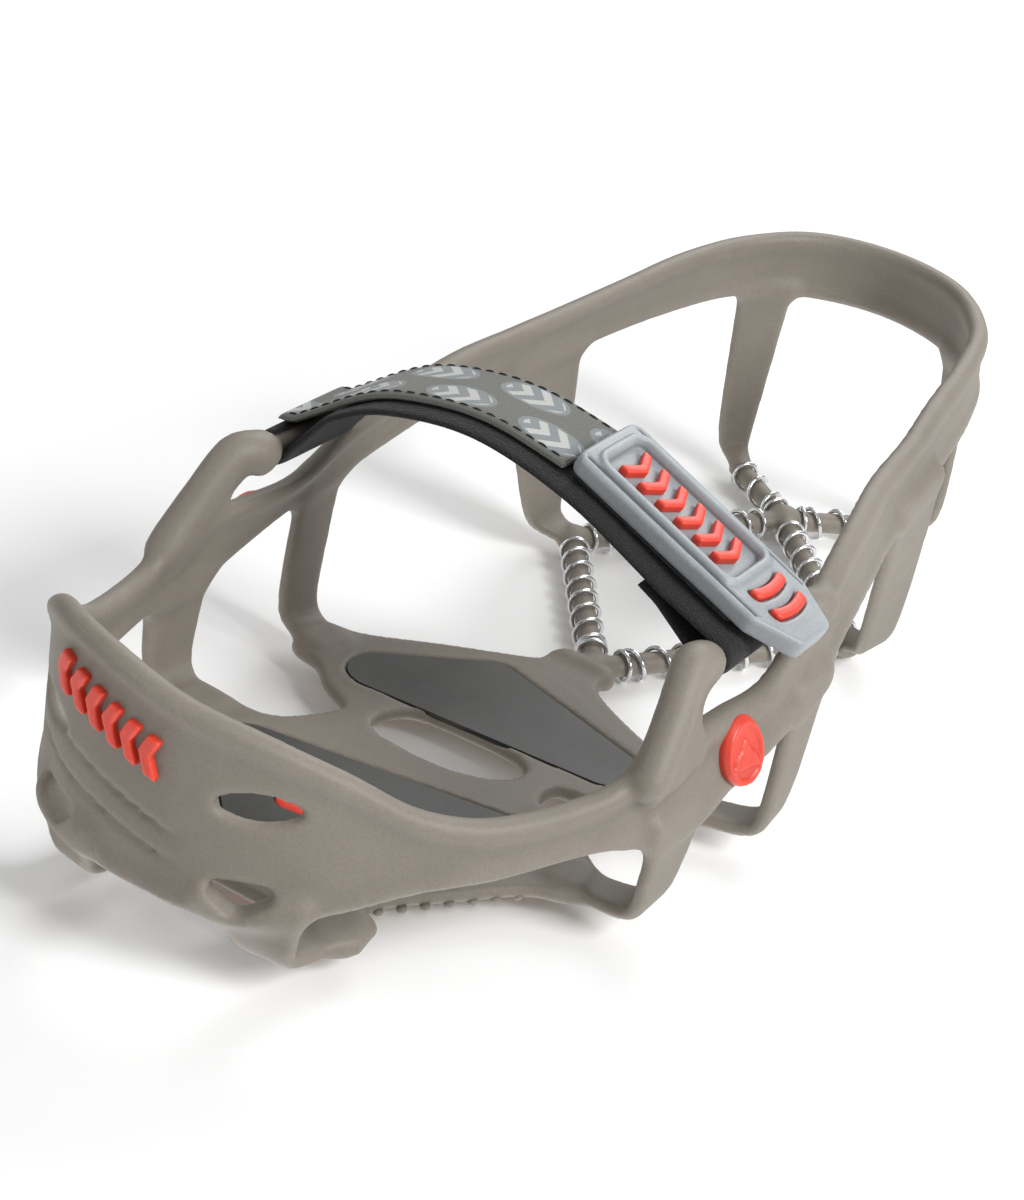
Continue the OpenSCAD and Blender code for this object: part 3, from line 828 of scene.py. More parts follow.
class Finishes:
    """Makes and keeps the procedural materials."""

    plain = {
        Slot.ELASTOMER: Finish("elastomer", (0.218, 0.193, 0.160), (0.176, 0.155, 0.127), 0.56,
                               grain=1500, relief=0.00006, cloud=34),
        Slot.NYLON: Finish("stiff_nylon", (0.035, 0.034, 0.033), (0.05, 0.049, 0.047), 0.5,
                           grain=1300, relief=0.00005),
        Slot.RED_PLASTIC: Finish("red_plastic", (0.80, 0.060, 0.034), (0.68, 0.040, 0.022), 0.3,
                                 grain=600, relief=0.00001, coat=0.3),
        Slot.RED_RUBBER: Finish("red_rubber", (0.69, 0.050, 0.024), (0.58, 0.038, 0.018), 0.42,
                                grain=1100, relief=0.00003, coat=0.1),
        Slot.TAB: Finish("grey_moulding", (0.31, 0.335, 0.352), (0.255, 0.275, 0.29), 0.4,
                         grain=1400, relief=0.00003, cloud=60),
        Slot.COLLAR: Finish("collar_steel", (0.60, 0.60, 0.61), (0.45, 0.45, 0.46), 0.3, 1.0,
                            grain=2500, relief=0.00001, cloud=300),
        Slot.CARBIDE: Finish("carbide", (0.70, 0.70, 0.71), (0.52, 0.52, 0.54), 0.22, 1.0,
                             grain=3000, relief=0.00001, cloud=500),
        Slot.COIL: Finish("coil_steel", (0.78, 0.79, 0.80), (0.58, 0.59, 0.61), 0.16, 1.0,
                          grain=2200, relief=0.00001, cloud=120),
    }

    def __init__(self) -> None:
        """Builds every material once."""
        self.made: dict[Slot, bpy.types.Material] = {}
        for slot, finish in self.plain.items():
            self.made[slot] = self.moulded(finish)
        self.made[Slot.BLACK_WEBBING] = self.pile("black_webbing", (0.012, 0.012, 0.013), 1700)
        self.made[Slot.HOOKS] = self.pile("hook_tape", (0.02, 0.02, 0.021), 900)
        self.made[Slot.PRINTED_WEBBING] = self.printed()
        self.thread = self.pile("black_thread", (0.018, 0.018, 0.019), 4000)

    def __getitem__(self, slot: Slot) -> bpy.types.Material:
        """Gives the material of a slot."""
        return self.made[slot]

    @staticmethod
    def moulded(finish: Finish) -> bpy.types.Material:
        """Makes a moulded or turned finish with grain, cloudy colour, lighter worn edges and
        painted shade in creases.

        Args:
            finish: What it looks like.

        Returns:
            The material.
        """
        graph = Graph(finish.name)
        cloud = graph.noise(finish.cloud, 5.0, 0.6)
        grain = graph.noise(finish.grain, 3.0, 0.55)
        colour = graph.ramp(cloud, 0.3, 0.7, finish.second, finish.colour)
        # Pointiness tint: sharp convex edges get lighter as wear, and creases and hollows get
        # darker as painted shade.
        edges = graph.node("NewGeometry").outputs["Pointiness"]
        for tint in (graph.ramp(grain, 0.3, 0.75, (0.90,) * 3, (1.06,) * 3),
                     graph.ramp(edges, 0.47, 0.56, (0.86,) * 3, (1.13,) * 3)):
            colour = graph.mix(1.0, colour, tint, "MULTIPLY")
        rough = graph.node("MapRange", {"Value": cloud, "To Min": max(finish.rough - 0.08, 0.05),
                                        "To Max": finish.rough + 0.1})
        return graph.finish(grain, 1.0, finish.relief, {
            "Base Color": colour, "Roughness": rough.outputs[0], "Metallic": finish.metallic,
            "Coat Weight": finish.coat, "Coat Roughness": 0.2})

    @staticmethod
    def pile(name: str, colour: tuple, scale: float) -> bpy.types.Material:
        """Makes a dark looped or hooked pile.

        Args:
            name: Name of the material.
            colour: Its colour, linear.
            scale: Loops to a metre.

        Returns:
            The material.
        """
        graph = Graph(name)
        cells = graph.node("TexVoronoi", {"Scale": scale, "Vector": graph.place}).outputs[0]
        fluff = graph.noise(scale * 0.8, 6.0, 0.7)
        lighter = tuple(c * 2.2 for c in colour)
        return graph.finish(graph.math("ADD", cells, fluff), 1.0, 0.0003, {
            "Base Color": graph.ramp(fluff, 0.4, 0.8, colour, lighter), "Roughness": 0.95,
            "Specular IOR Level": 0.25, "Sheen Weight": 0.08, "Sheen Roughness": 0.5})

    @staticmethod
    def medallions(graph: Graph) -> tuple:
        """Lays two staggered rows of ovals with nested chevrons along a strap.

        Args:
            graph: The strap's tree, whose places are metres from the middle of its width.

        Returns:
            Sockets that are 1 in the ovals, and 1 in the chevrons.
        """
        pitch, row, long, short = 0.0235, 0.0058, 0.0086, 0.0049
        math_of = graph.math
        along, across = graph.node("SeparateXYZ", {0: graph.place}).outputs[:2]
        shift = math_of("MULTIPLY", math_of("GREATER_THAN", across, 0.0), pitch / 2)
        cell = math_of("MODULO", math_of("ADD", along, shift), pitch)
        x = math_of("MULTIPLY", math_of("SUBTRACT", cell, pitch / 2), 1 / long)
        rise = math_of("SUBTRACT", math_of("ABSOLUTE", across), row)
        y = math_of("MULTIPLY", rise, 1 / short)
        far = math_of("ADD", math_of("MULTIPLY", x, x), math_of("MULTIPLY", y, y))
        bent = math_of("MULTIPLY", math_of("ABSOLUTE", y), 0.5)
        slant = math_of("ADD", math_of("ADD", x, bent), 3.0)
        band = math_of("SUBTRACT", math_of("MODULO", slant, 0.62), 0.31)
        thin = math_of("LESS_THAN", math_of("ABSOLUTE", band), 0.15)
        inner = math_of("LESS_THAN", far, 0.74)
        return math_of("LESS_THAN", far, 1.0), math_of("MULTIPLY", thin, inner)

    def printed(self) -> bpy.types.Material:
        """Makes olive webbing with a fine weave and a print of ovals and chevrons.

        Returns:
            The material, which reads the strap's own flat coordinates.
        """
        graph = Graph("printed_webbing", "flat")
        threads = [
            graph.node("TexWave", {"Scale": scale, "Distortion": 0.4, "Vector": graph.place},
                       bands_direction=way).outputs[1]
            for scale, way in ((480.0, "X"), (400.0, "Y"))]
        weave = graph.math("MULTIPLY", *threads)
        ovals, chevrons = self.medallions(graph)
        colour = graph.ramp(weave, 0.0, 1.0, (0.092, 0.094, 0.082), (0.118, 0.120, 0.106))
        for mask, low, high in (
                (ovals, (0.165, 0.185, 0.192), (0.20, 0.222, 0.230)),
                (chevrons, (0.40, 0.40, 0.385), (0.50, 0.50, 0.48))):
            colour = graph.mix(mask, colour, graph.ramp(weave, 0.0, 1.0, low, high))
        height = graph.math("ADD", weave, graph.noise(900.0, 4.0))
        return graph.finish(height, 0.8, 0.00016, {
            "Base Color": colour, "Roughness": 0.66, "Sheen Weight": 0.15})


@dataclass
class MeshMaker:
    """Turns arrays into Blender objects that ride on bodies.

    Attributes:
        finishes: The materials.
    """

    finishes: Finishes

    def make(self, name: str, mesh: tuple, slot: Slot, replaces: tuple = (),
             body: Body = Body.HARNESS, flat: np.ndarray | None = None,
             material: bpy.types.Material | None = None) -> bpy.types.Object:
        """Makes one object.

        Args:
            name: Name of the object.
            mesh: Vertices in layout millimetres, and faces as rows of vertex numbers.
            slot: Record slot of its finish.
            replaces: CAD nodes that it stands for.
            body: Body that it rides on.
            flat: Flat coordinates for each vertex, or none.
            material: Its material, if it isn't the slot's own.

        Returns:
            The new object.
        """
        verts, faces = mesh
        data = bpy.data.meshes.new(name)
        data.from_pydata(to_row(verts).tolist(), [], faces.tolist())
        data.polygons.foreach_set("use_smooth", np.ones(len(data.polygons), dtype=bool))
        if flat is not None:
            corner = np.empty(len(data.loops), dtype=np.int32)
            data.loops.foreach_get("vertex_index", corner)
            layer = data.uv_layers.new(name="flat")
            layer.data.foreach_set("uv", flat[corner].astype(np.float32).ravel())
        data.materials.append(material or self.finishes[slot])
        data.validate()
        data.update()
        obj = bpy.data.objects.new(name, data)
        bpy.context.scene.collection.objects.link(obj)
        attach(obj, body.value)
        if replaces:
            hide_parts(*replaces)
        LOG.info("%s: %d faces", name, len(data.polygons))
        return obj


@dataclass
class Curtain:
    """The bands as one closed curve in plan with heights along it.

    Attributes:
        steps: Parts between two stations.
    """

    steps: int = 6
    line: np.ndarray = field(init=False, repr=False)
    run: np.ndarray = field(init=False, repr=False)

    def __post_init__(self) -> None:
        """Runs the smooth curve through the stations."""
        self.line = smooth_line(LAY.stations, self.steps, closed=True)
        legs = np.linalg.norm(np.roll(self.line, -1, 0)[:, :2] - self.line[:, :2], axis=1)
        self.run = np.concatenate([[0], np.cumsum(legs)])

    def project(self, x: np.ndarray, y: np.ndarray) -> dict:
        """Finds the nearest place on the curve.

        Args:
            x: Across places.
            y: Forward places, which broadcast with x.

        Returns:
            Signed distance, negative inside, the run along the curve, the lower and
            upper edges' heights, and the lean, each of the shape of x and y together.
        """
        shape = np.broadcast(x, y).shape
        best = np.full(shape, FAR)
        out = np.zeros(shape + (4,))
        ends = np.roll(self.line, -1, 0)
        for a, b, run in zip(self.line, ends, self.run):
            e = b[:2] - a[:2]
            px, py = x - a[0], y - a[1]
            t = np.clip((px * e[0] + py * e[1]) / (e @ e), 0, 1)
            far = (px - t * e[0]) ** 2 + (py - t * e[1]) ** 2
            closer = far < best
            best = np.where(closer, far, best)
            row = a[2:] + t[..., None] * (b - a)[2:]
            along = run + t * math.sqrt(e @ e)
            here = np.concatenate([along[..., None], row], -1)
            out = np.where(closer[..., None], here, out)
        side = np.sign(polygon_distance(x, y, self.line[:, :2]))
        return {"off": side * np.sqrt(best), "run": out[..., 0], "low": out[..., 1],
                "high": out[..., 2], "lean": out[..., 3]}

    def run_at(self, x: float, y: float) -> float:
        """Gives the run along the curve nearest a place."""
        return float(self.project(np.array([x]), np.array([y]))["run"][0])

    def sheet(self, grid: tuple) -> dict:
        """Measures the bands' middle surface over a grid.

        Args:
            grid: Open coordinate arrays.

        Returns:
            What project() gives, with the distance off the leaning surface as off.
        """
        x, y, z = grid
        near = self.project(x[..., 0], y[..., 0])
        near = {key: value[..., None] for key, value in near.items()}
        up = np.clip((z - near["low"]) / (near["high"] - near["low"]), 0, 1.15)
        near["off"] = near["off"] + near["lean"] * up
        return near


def arm_rails(root: tuple, edge: tuple, top: tuple, lie: tuple, w0: float, w1: float,
              z0: float, z_edge: float) -> tuple:
    """Lays out an arm from under the sole up to a band.

    Args:
        root: Where it leaves the plate.
        edge: Where it turns up round the sole's edge.
        top: Its upper end.
        lie: Direction of its width at the top.
        w0: Width at the root.
        w1: Width at the top.
        z0: Height of the root.
        z_edge: Height just before the turn.

    Returns:
        Points of its two rails.
    """
    r, e = np.array(root, float), np.array(edge, float)
    d = unit(e - r)
    line = np.array([
        [*r, z0], [*(e - 9 * d), (z0 + z_edge) / 2], [*(e - 2 * d), z_edge + 2],
        [*e, z_edge + 9], list(top)])
    line = relax(smooth_line(line, 5), 7)
    share = np.linspace(0, 1, len(line))
    half = (w0 + (w1 - w0) * share**2) / 2 - LAY.band_t / 2
    side = np.array([-d[1], d[0]])
    across = unit(side * (1 - share)[:, None] + unit(np.array(lie, float)) * share[:, None])
    across = np.column_stack([across, np.zeros(len(line))]) * half[:, None]
    return line + across, line - across


ELASTOMER_NODES = (
    "toe_band", "lateral_band", "medial_band", "heel_band", "lateral_strap_loop",
    "medial_strap_loop", "front_sole_plate", "rear_sole_plate", "toe_lateral_arm",
    "toe_medial_arm", "front_lateral_arm", "front_medial_arm", "rear_lateral_arm",
    "rear_medial_arm", "heel_lateral_web", "heel_medial_web", "heel_lateral_riser",
    "heel_medial_riser", "plate_hub", "lateral_hub", "medial_hub", "heel_hub",
    "cord_front_lateral", "cord_front_medial", "cord_rear_lateral", "cord_rear_medial",
    "cord_end_lateral", "cord_end_medial")


@dataclass
class Harness:
    """The elastomer moulding as one smooth body.

    Attributes:
        maker: Makes its object.
        curtain: The bands' layout.
        step: Grid step in millimetres.
        rim_in: Distance from a band's edge to the middle of its rolled rim.
        top_r: Radius of the upper rim.
        foot_r: Radius of the lower rim.
        arm_r: Half the thickness of an arm.
        hub_more: How much thicker a hub is than its cords.
        bore_r: Radius of a stud's bore.
        flange_r: Radius of the recess for its flange.
        solid: The moulding as a field.
    """

    maker: MeshMaker
    curtain: Curtain
    step: float = 1.03
    rim_in: float = 1.9
    top_r: float = 2.3
    foot_r: float = 2.0
    arm_r: float = 1.65
    hub_more: float = 0.9
    bore_r: float = 4.15
    flange_r: float = 6.2
    solid: Field = field(init=False, repr=False)

    def build(self) -> bpy.types.Object:
        """Builds the moulding.

        Returns:
            The object.
        """
        self.solid = Field((-80, -10, -1), (73, 320, 86), self.step)
        self.add_bands()
        self.add_plates()
        self.add_arms()
        self.add_cords()
        self.add_loops()
        self.cut_holes()
        return self.maker.make("harness_moulding", self.solid.surface(), Slot.ELASTOMER,
                               ELASTOMER_NODES)

    def add_bands(self) -> None:
        """Adds the bands with their rolled rims and the toe band's moulded lines."""
        cut, grid = self.solid.window((-99, -99, 14), (99, 999, 84))
        z = grid[2]
        near = self.curtain.sheet(grid)
        middle = (near["low"] + near["high"]) / 2
        tall = (near["high"] - near["low"]) / 2
        half = LAY.band_t / 2
        off = near["off"] + self.terraces(near, z)
        up = np.abs(z - middle) - tall
        band = rounded_slab(np.abs(off) - half, up, 1.4)
        top = np.hypot(off - 0.3, z - (near["high"] - self.rim_in)) - self.top_r
        foot = np.hypot(off, z - (near["low"] + self.rim_in)) - self.foot_r
        self.solid.add(cut, band, 0.5)
        self.solid.add(cut, top, 2.5)
        self.solid.add(cut, foot, 2.0)

    def terraces(self, near: dict, z: np.ndarray) -> np.ndarray:
        """Gives how far the toe band's face steps back under its two moulded lines.

        Under each line, which rises towards the inner side, the face lies a step
        further in, with a narrow groove along the step.

        Args:
            near: The bands' layout over the grid.
            z: Heights of the grid.

        Returns:
            Distance inwards.
        """
        start = self.curtain.run_at(-1, 309)
        stop = self.curtain.run_at(36, 300)
        share = (near["run"] - start) / (stop - start)
        on = np.clip(6 * np.minimum(share + 0.1, 1.05 - share), 0, 1)
        back = np.zeros(np.broadcast(share, z).shape)
        for low, rise in ((30, 9), (36.5, 11)):
            under = low + rise * np.clip(share, 0, 1) - z
            back = back + on * 0.5 * np.clip(under / 0.9 + 0.5, 0, 1)
            back = back + on * 0.8 * np.exp(-(((under - 0.5) / 0.75) ** 2))
        return back

    def add_plates(self) -> None:
        """Adds the two sole plates with raised pads under the studs."""
        cut, grid = self.solid.window((-60, 140, 1), (60, 292, 13))
        flat = plan_distance(grid, smooth_line(LAY.plate, 3, closed=True))
        up = np.abs(grid[2] - LAY.plate_mid) - LAY.band_t / 2
        self.solid.add(cut, rounded_slab(flat - 0.6, up, 1.1), 3.5)
        for outline in (LAY.front_pad, LAY.rear_pad):
            flat = plan_distance(grid, smooth_line(outline, 4, closed=True))
            up = np.abs(grid[2] - LAY.plate_mid + 0.35) - LAY.band_t / 2 - 0.3
            self.solid.add(cut, rounded_slab(flat, up, 0.6), 0.8)

    def add_arms(self) -> None:
        """Adds the arms, the heel webs and the heel risers."""
        w, mid, cord = LAY.arm_w, LAY.plate_mid, LAY.cord_z
        arms = (
            ((-24, 272), (-19.5, 301), (-18, 303.5, 25), (-9, -5), w, 2.2 * w, mid, mid + 3),
            ((26, 271), (26.5, 303), (26, 305.5, 25), (-9, 3.5), w, 2 * w, mid, mid + 3),
            ((-46, 227), (-67, 226), (-67.5, 224, 33), (0, -1), w, 2.2 * w, mid, mid),
            ((46, 232), (61.5, 229), (62, 227, 33), (0, 1), w, 2.2 * w, mid, mid),
            ((-47, 184), (-70.5, 178), (-71, 177, 46), (0, -1), w, 1.6 * w, mid, mid),
            ((44, 188), (58.5, 183), (59, 179, 46), (0, 1), w, 1.6 * w, mid, mid),
            (LAY.node_b, (-52, 84), (-56, 94, 58), (1, -9), 6.6, 3.2 * w, cord, cord + 2),
            (LAY.node_c, (45, 92), (49.5, 98, 58), (1, 9), 6.6, 3.2 * w, cord, cord + 2),
            (LAY.node_e, (-31, 4), (-30, 12, 60), (7, -7), 5.6, 1.6 * w, cord, cord + 2),
            (LAY.node_f, (31, 8), (29, 13, 60), (7, 7), 5.6, 1.6 * w, cord, cord + 2))
        for arm in arms:
            left, right = arm_rails(*arm)
            self.solid.add_ribbon(left, right, self.arm_r, 4.5)

    def add_cords(self) -> None:
        """Adds the heel cords, their hubs and the neck behind the rear plate."""
        z = LAY.cord_z
        lines = ((LAY.node_a, LAY.node_b), (LAY.node_a, LAY.node_c), (LAY.node_b, LAY.node_d),
                 (LAY.node_c, LAY.node_d), (LAY.node_d, LAY.node_e), (LAY.node_d, LAY.node_f))
        for p, q in lines:
            self.solid.add_capsule((*p, z), (*q, z), LAY.cord_r, 1.6)
        for p in (LAY.node_a, LAY.node_b, LAY.node_c, LAY.node_d):
            self.solid.add_capsule((*p, z), (*p, z + 0.2), LAY.cord_r + self.hub_more, 2.5)
        self.solid.add_capsule((-9, 148, 6.2), (1, 148, 6.2), 2.6, 4)

    def add_loops(self) -> None:
        """Adds the strap loops with their broad front ears and rear ends."""
        loops = (
            (LAY.lateral_bar, ((-65.5, 238, 45), (-63.5, 229, 54), (-61, 220, 62)), -66.5),
            (LAY.medial_bar, ((59.5, 238, 45), (58.5, 229, 54), (57, 220, 63)), 55.5))
        for (x, z), ear, back in loops:
            post = (*ear, (x, 214.5, z + 1.5), (x, 210, z))
            self.solid.add_rod(smooth_line(post, 4), 3.1, 3.0)
            self.solid.add_capsule((x, 210, z), (x, 178, z), LAY.bar_r, 1.5)
            rear = ((x, 178, z), ((back + x) / 2, 174.5, z + 0.2), (back, 168, 60))
            self.solid.add_rod(smooth_line(rear, 4), 2.8, 3.0)
            front = np.array([*ear, (x, 214.5, z + 1.0)])
            rear = front - np.array([(0, 9, 1), (0, 8.5, 1.5), (0.4, 6, 3), (0, 2.5, 4)])
            self.solid.add_ribbon(smooth_line(front, 3), smooth_line(rear, 3), 2.1, 3.0)
            foot = np.array([ear[0], ear[1], (ear[1][0], 221, 52)])
            low = np.array([(ear[0][0] - np.sign(x) * 0.2, 236, 40),
                            (ear[1][0] + np.sign(x) * 2.4, 228, 42),
                            (ear[1][0] + np.sign(x) * 2.6, 220, 44)])
            self.solid.add_ribbon(foot, low, 1.7, 3.0)

    def cut_holes(self) -> None:
        """Cuts the windows, the plate slot, the recesses and the bores."""
        for x, y, z, shape in (
                (-17, 303, 45, ((-7, 0.8), (-2, 2.4), (4, 2), (7.5, 0), (3, -1.6), (-3, -1.2))),
                (-15.5, 303, 25.5, ((-5, 1.6), (0, 2), (5, 1.4), (3.4, -1), (0.6, -3), (-3, -1))),
                (33, 302, 46, ((-7.5, 0), (-4, 2), (2, 2.4), (7, 0.8), (3, -1.2), (-3, -1.6))),
                (28, 304, 26, ((-5, 1.4), (0, 2), (5, 1.6), (3, -1), (-0.6, -3), (-3.4, -1)))):
            cut, grid = self.solid.window((x - 22, y - 20, z - 12), (x + 22, y + 14, z + 12))
            near = self.curtain.sheet(grid)
            run, high = np.broadcast_arrays(near["run"] - self.curtain.run_at(x, y), grid[2] - z)
            hole = polygon_distance(run, high, smooth_line(shape, 4, True)) - 1.2
            self.solid.take(cut, np.maximum(hole, np.abs(near["off"]) - 8), 1.6)
        cut, grid = self.solid.window((-60, 150, -1), (60, 290, 12))
        x, y, z = grid
        through = np.abs(z - 6) - 8
        slot = ((-13, 205), (-3, 208.5), (11, 208), (12, 205), (8, 201.5), (-13, 201))
        hole = plan_distance(grid, smooth_line(slot, 3, True)) - 4.6
        self.solid.take(cut, np.maximum(hole, through), 1.2)
        hole = plan_distance(grid, view_outline(-1.4))
        self.solid.take(cut, np.maximum(hole, through), 0.4)
        for studs in (LAY.front_studs, LAY.rear_studs):
            seat = plan_distance(grid, studs) - 8.2
            self.solid.take(cut, np.maximum(seat, 7.25 - z), 0.3)
            for sx, sy in studs:
                far = np.hypot(x - sx, y - sy)
                self.solid.take(cut, np.maximum(far - self.flange_r, 6.2 - z), 0.3)
                self.solid.take(cut, np.maximum(far - self.bore_r, through), 0.5)


def view_outline(grow: float) -> np.ndarray:
    """Gives the rounded outline of the ring that lines the view hole.

    Args:
        grow: Distance outside the ring's outer edge.

    Returns:
        Points round it, counter-clockwise.
    """
    corners = np.array([(8.5, 4.5), (-9.5, 1.5), (2, -4.5)]) + np.array(LAY.grommet_at)
    edges = np.roll(corners, -1, 0) - corners
    normal = unit(np.column_stack([edges[:, 1], -edges[:, 0]]))
    turn = np.arctan2(np.roll(normal, 1, 0)[:, 1], np.roll(normal, 1, 0)[:, 0])
    to = np.arctan2(normal[:, 1], normal[:, 0])
    sweep = (to - turn) % (2 * np.pi)
    t = np.linspace(0, 1, 12)
    angle = turn[:, None] + sweep[:, None] * t[None, :]
    arc = np.stack([np.cos(angle), np.sin(angle)], -1) * (4 + grow)
    return (corners[:, None] + arc).reshape(-1, 2)


def build_view_ring(maker: MeshMaker) -> None:
    """Builds the red ring that lines the view hole.

    Args:
        maker: Makes its object.
    """
    outer = view_outline(0)
    inward = left_of(unit(np.roll(outer, -1, 0) - np.roll(outer, 1, 0)))
    low, high = LAY.plate_z - 1.6, LAY.seat_z
    section = np.array([
        (0.1, low + 1.0), (0.35, low + 0.4), (1.0, low), (2.2, low), (2.85, low + 0.4),
        (3.2, low + 1.1), (3.2, high - 0.5), (2.8, high), (0.5, high), (0.0, high - 0.5),
        (0.0, low + 3.2), (-0.9, low + 2.9), (-0.9, low + 1.9), (-0.2, low + 1.5)])
    rings = outer[:, None] + inward[:, None] * section[None, :, :1]
    heights = np.broadcast_to(section[None, :, 1:], rings.shape[:2] + (1,))
    rings = np.concatenate([rings, heights], -1)
    ring = maker.make("view_ring", loft(rings[:, ::-1], closed=True), Slot.RED_PLASTIC,
                      ("grommet",))
    soften(ring, 0.25)


def soften(obj: bpy.types.Object, width: float, segments: int = 2) -> None:
    """Rounds an object's sharp edges.

    Args:
        obj: The object.
        width: Width of the rounding in millimetres.
        segments: Faces across it.
    """
    bevel = obj.modifiers.new("soft_edges", "BEVEL")
    bevel.width = width * MILLIMETRE
    bevel.segments = segments
    bevel.limit_method = "ANGLE"
    bevel.angle_limit = math.radians(35)
    bevel.harden_normals = False


def turned(profile: np.ndarray, centres: np.ndarray, sides: int = 48,
           bored: bool = False) -> tuple:
    """Turns a profile about upright axes.

    Args:
        profile: Radius and height along the profile, from the top middle down to the
            bottom middle, or round the section of a bored piece.
        centres: Places in plan, one a row.
        sides: Number of sides.
        bored: Whether the piece keeps its bore.

    Returns:
        Vertices and faces of all the copies.
    """
    profile = np.asarray(profile, float)
    w = np.linspace(0, 2 * np.pi, sides, endpoint=False)
    ring = np.stack([np.cos(w), np.sin(w)], -1)
    radius = np.maximum(profile[:, :1], AXIS_R)
    rings = np.concatenate([
        radius[:, None] * ring[None],
        np.broadcast_to(profile[:, None, 1:], (len(profile), sides, 1))], -1)
    if bored:
        verts, faces = loft(rings.swapaxes(0, 1), closed=True)
    else:
        verts, faces = capped(rings[:, ::-1])
    return gather([(verts + np.array([cx, cy, 0]), faces) for cx, cy in centres])


def build_studs(maker: MeshMaker) -> None:
    """Builds the six studs' bosses, collars and pins, turned from profiles.

    Args:
        maker: Makes their objects.
    """
    boss = (
        (0, 7.3), (5.7, 7.3), (6.0, 7.1), (6.0, 6.4), (5.8, 6.3), (4.0, 6.3), (4.0, 5.0),
        (4.0, 2.9), (3.9, 2.4), (3.6, 2.05), (3.1, 1.86), (2.6, 1.8), (1.9, 1.8),
        (1.82, 1.88), (1.8, 2.2), (1.8, 4.8), (0, 4.8))
    collar = (
        (0.95, 4.7), (1.78, 4.7), (1.78, 1.35), (1.7, 1.2), (1.5, 1.1), (1.15, 1.1),
        (1.0, 1.16), (0.95, 1.3))
    pin = (
        (0, 3.0), (0.9, 3.0), (0.9, 0.75), (0.86, 0.55), (0.76, 0.34), (0.6, 0.16),
        (0.38, 0.04), (0.15, 0.0), (0, 0.0))
    for name, mesh, slot, node in (
            ("front_bosses", turned(boss, LAY.front_studs), Slot.RED_PLASTIC,
             "front_stud_bosses"),
            ("rear_bosses", turned(boss, LAY.rear_studs), Slot.RED_PLASTIC,
             "rear_stud_bosses"),
            ("collars", turned(collar, LAY.studs, bored=True), Slot.COLLAR, "stud_collars"),
            ("pins", turned(pin, LAY.studs), Slot.CARBIDE, "carbide_pins")):
        soften(maker.make(name, mesh, slot, (node,)), 0.12, 1)


@dataclass
class Coils:
    """The six wire coils on the heel cords.

    Attributes:
        maker: Makes their objects.
        turn_steps: Rings of points in one turn.
        sides: Sides of the wire.
    """

    maker: MeshMaker
    turn_steps: int = 36
    sides: int = 10

    def build(self) -> None:
        """Builds each coil in the place of its CAD solid."""
        hub = LAY.cord_r + 1.3
        fork = LAY.coil_r * 1.62
        tip = 2.5
        for name, p, q, gap0, gap1 in (
                ("coil_front_lateral", LAY.node_a, LAY.node_b, fork, hub),
                ("coil_front_medial", LAY.node_a, LAY.node_c, fork, hub),
                ("coil_rear_lateral", LAY.node_b, LAY.node_d, hub, fork),
                ("coil_rear_medial", LAY.node_c, LAY.node_d, hub, fork),
                ("coil_end_lateral", LAY.node_d, LAY.node_e, hub, tip),
                ("coil_end_medial", LAY.node_d, LAY.node_f, hub, tip)):
            mesh = self.coil(np.array(p, float), np.array(q, float), gap0, gap1)
            self.maker.make(f"{name}_wire", mesh, Slot.COIL, (name,))

    def coil(self, a: np.ndarray, b: np.ndarray, gap0: float, gap1: float) -> tuple:
        """Winds one coil.

        The place along the cord grows slowly over the first and last turn and evenly
        between them, and the pitch wanders a little as hand-worked wire does.

        Args:
            a: Plan place of the cord's start.
            b: Plan place of its end.
            gap0: Bare length at the start.
            gap1: Bare length at the end.

        Returns:
            Vertices and faces.
        """
        d = unit(b - a)
        span = float(np.linalg.norm(b - a)) - gap0 - gap1
        turns = max(3, round(span / LAY.coil_pitch) + 1)
        t = np.linspace(0, turns, turns * self.turn_steps + 1)
        wire = LAY.wire_r
        close = wire * 2.3
        mid = span - 2 * wire - 2 * close
        even = close + mid * (t - 1) / (turns - 2)
        last = close + mid + close * (t - turns + 1)
        along = np.where(t < 1, close * t, np.where(t > turns - 1, last, even))
        along = along + 0.35 * np.sin(1.7 * t + a[0]) * np.clip(np.minimum(t, turns - t), 0, 1)
        radius = LAY.coil_r - wire
        side = np.array([-d[1], d[0], 0.0])
        axis = np.array([d[0], d[1], 0.0])
        angle = 2 * np.pi * t
        out = np.cos(angle)[:, None] * side + np.sin(angle)[:, None] * UP
        start = np.array([a[0], a[1], LAY.cord_z]) + axis * (gap0 + wire)
        path = start + along[:, None] * axis + radius * out
        taper = np.clip(np.minimum(t, turns - t) * 30, 0.55, 1)
        spread = np.broadcast_to(axis, out.shape)
        return tube(path, spread, out, wire * taper, self.sides)


def arc(centre: tuple, radius: float, start: float, stop: float, parts: int) -> np.ndarray:
    """Gives points on an arc in a plane, with its angles in degrees."""
    w = np.radians(np.linspace(start, stop, parts + 1))
    return np.array(centre) + radius * np.column_stack([np.cos(w), np.sin(w)])


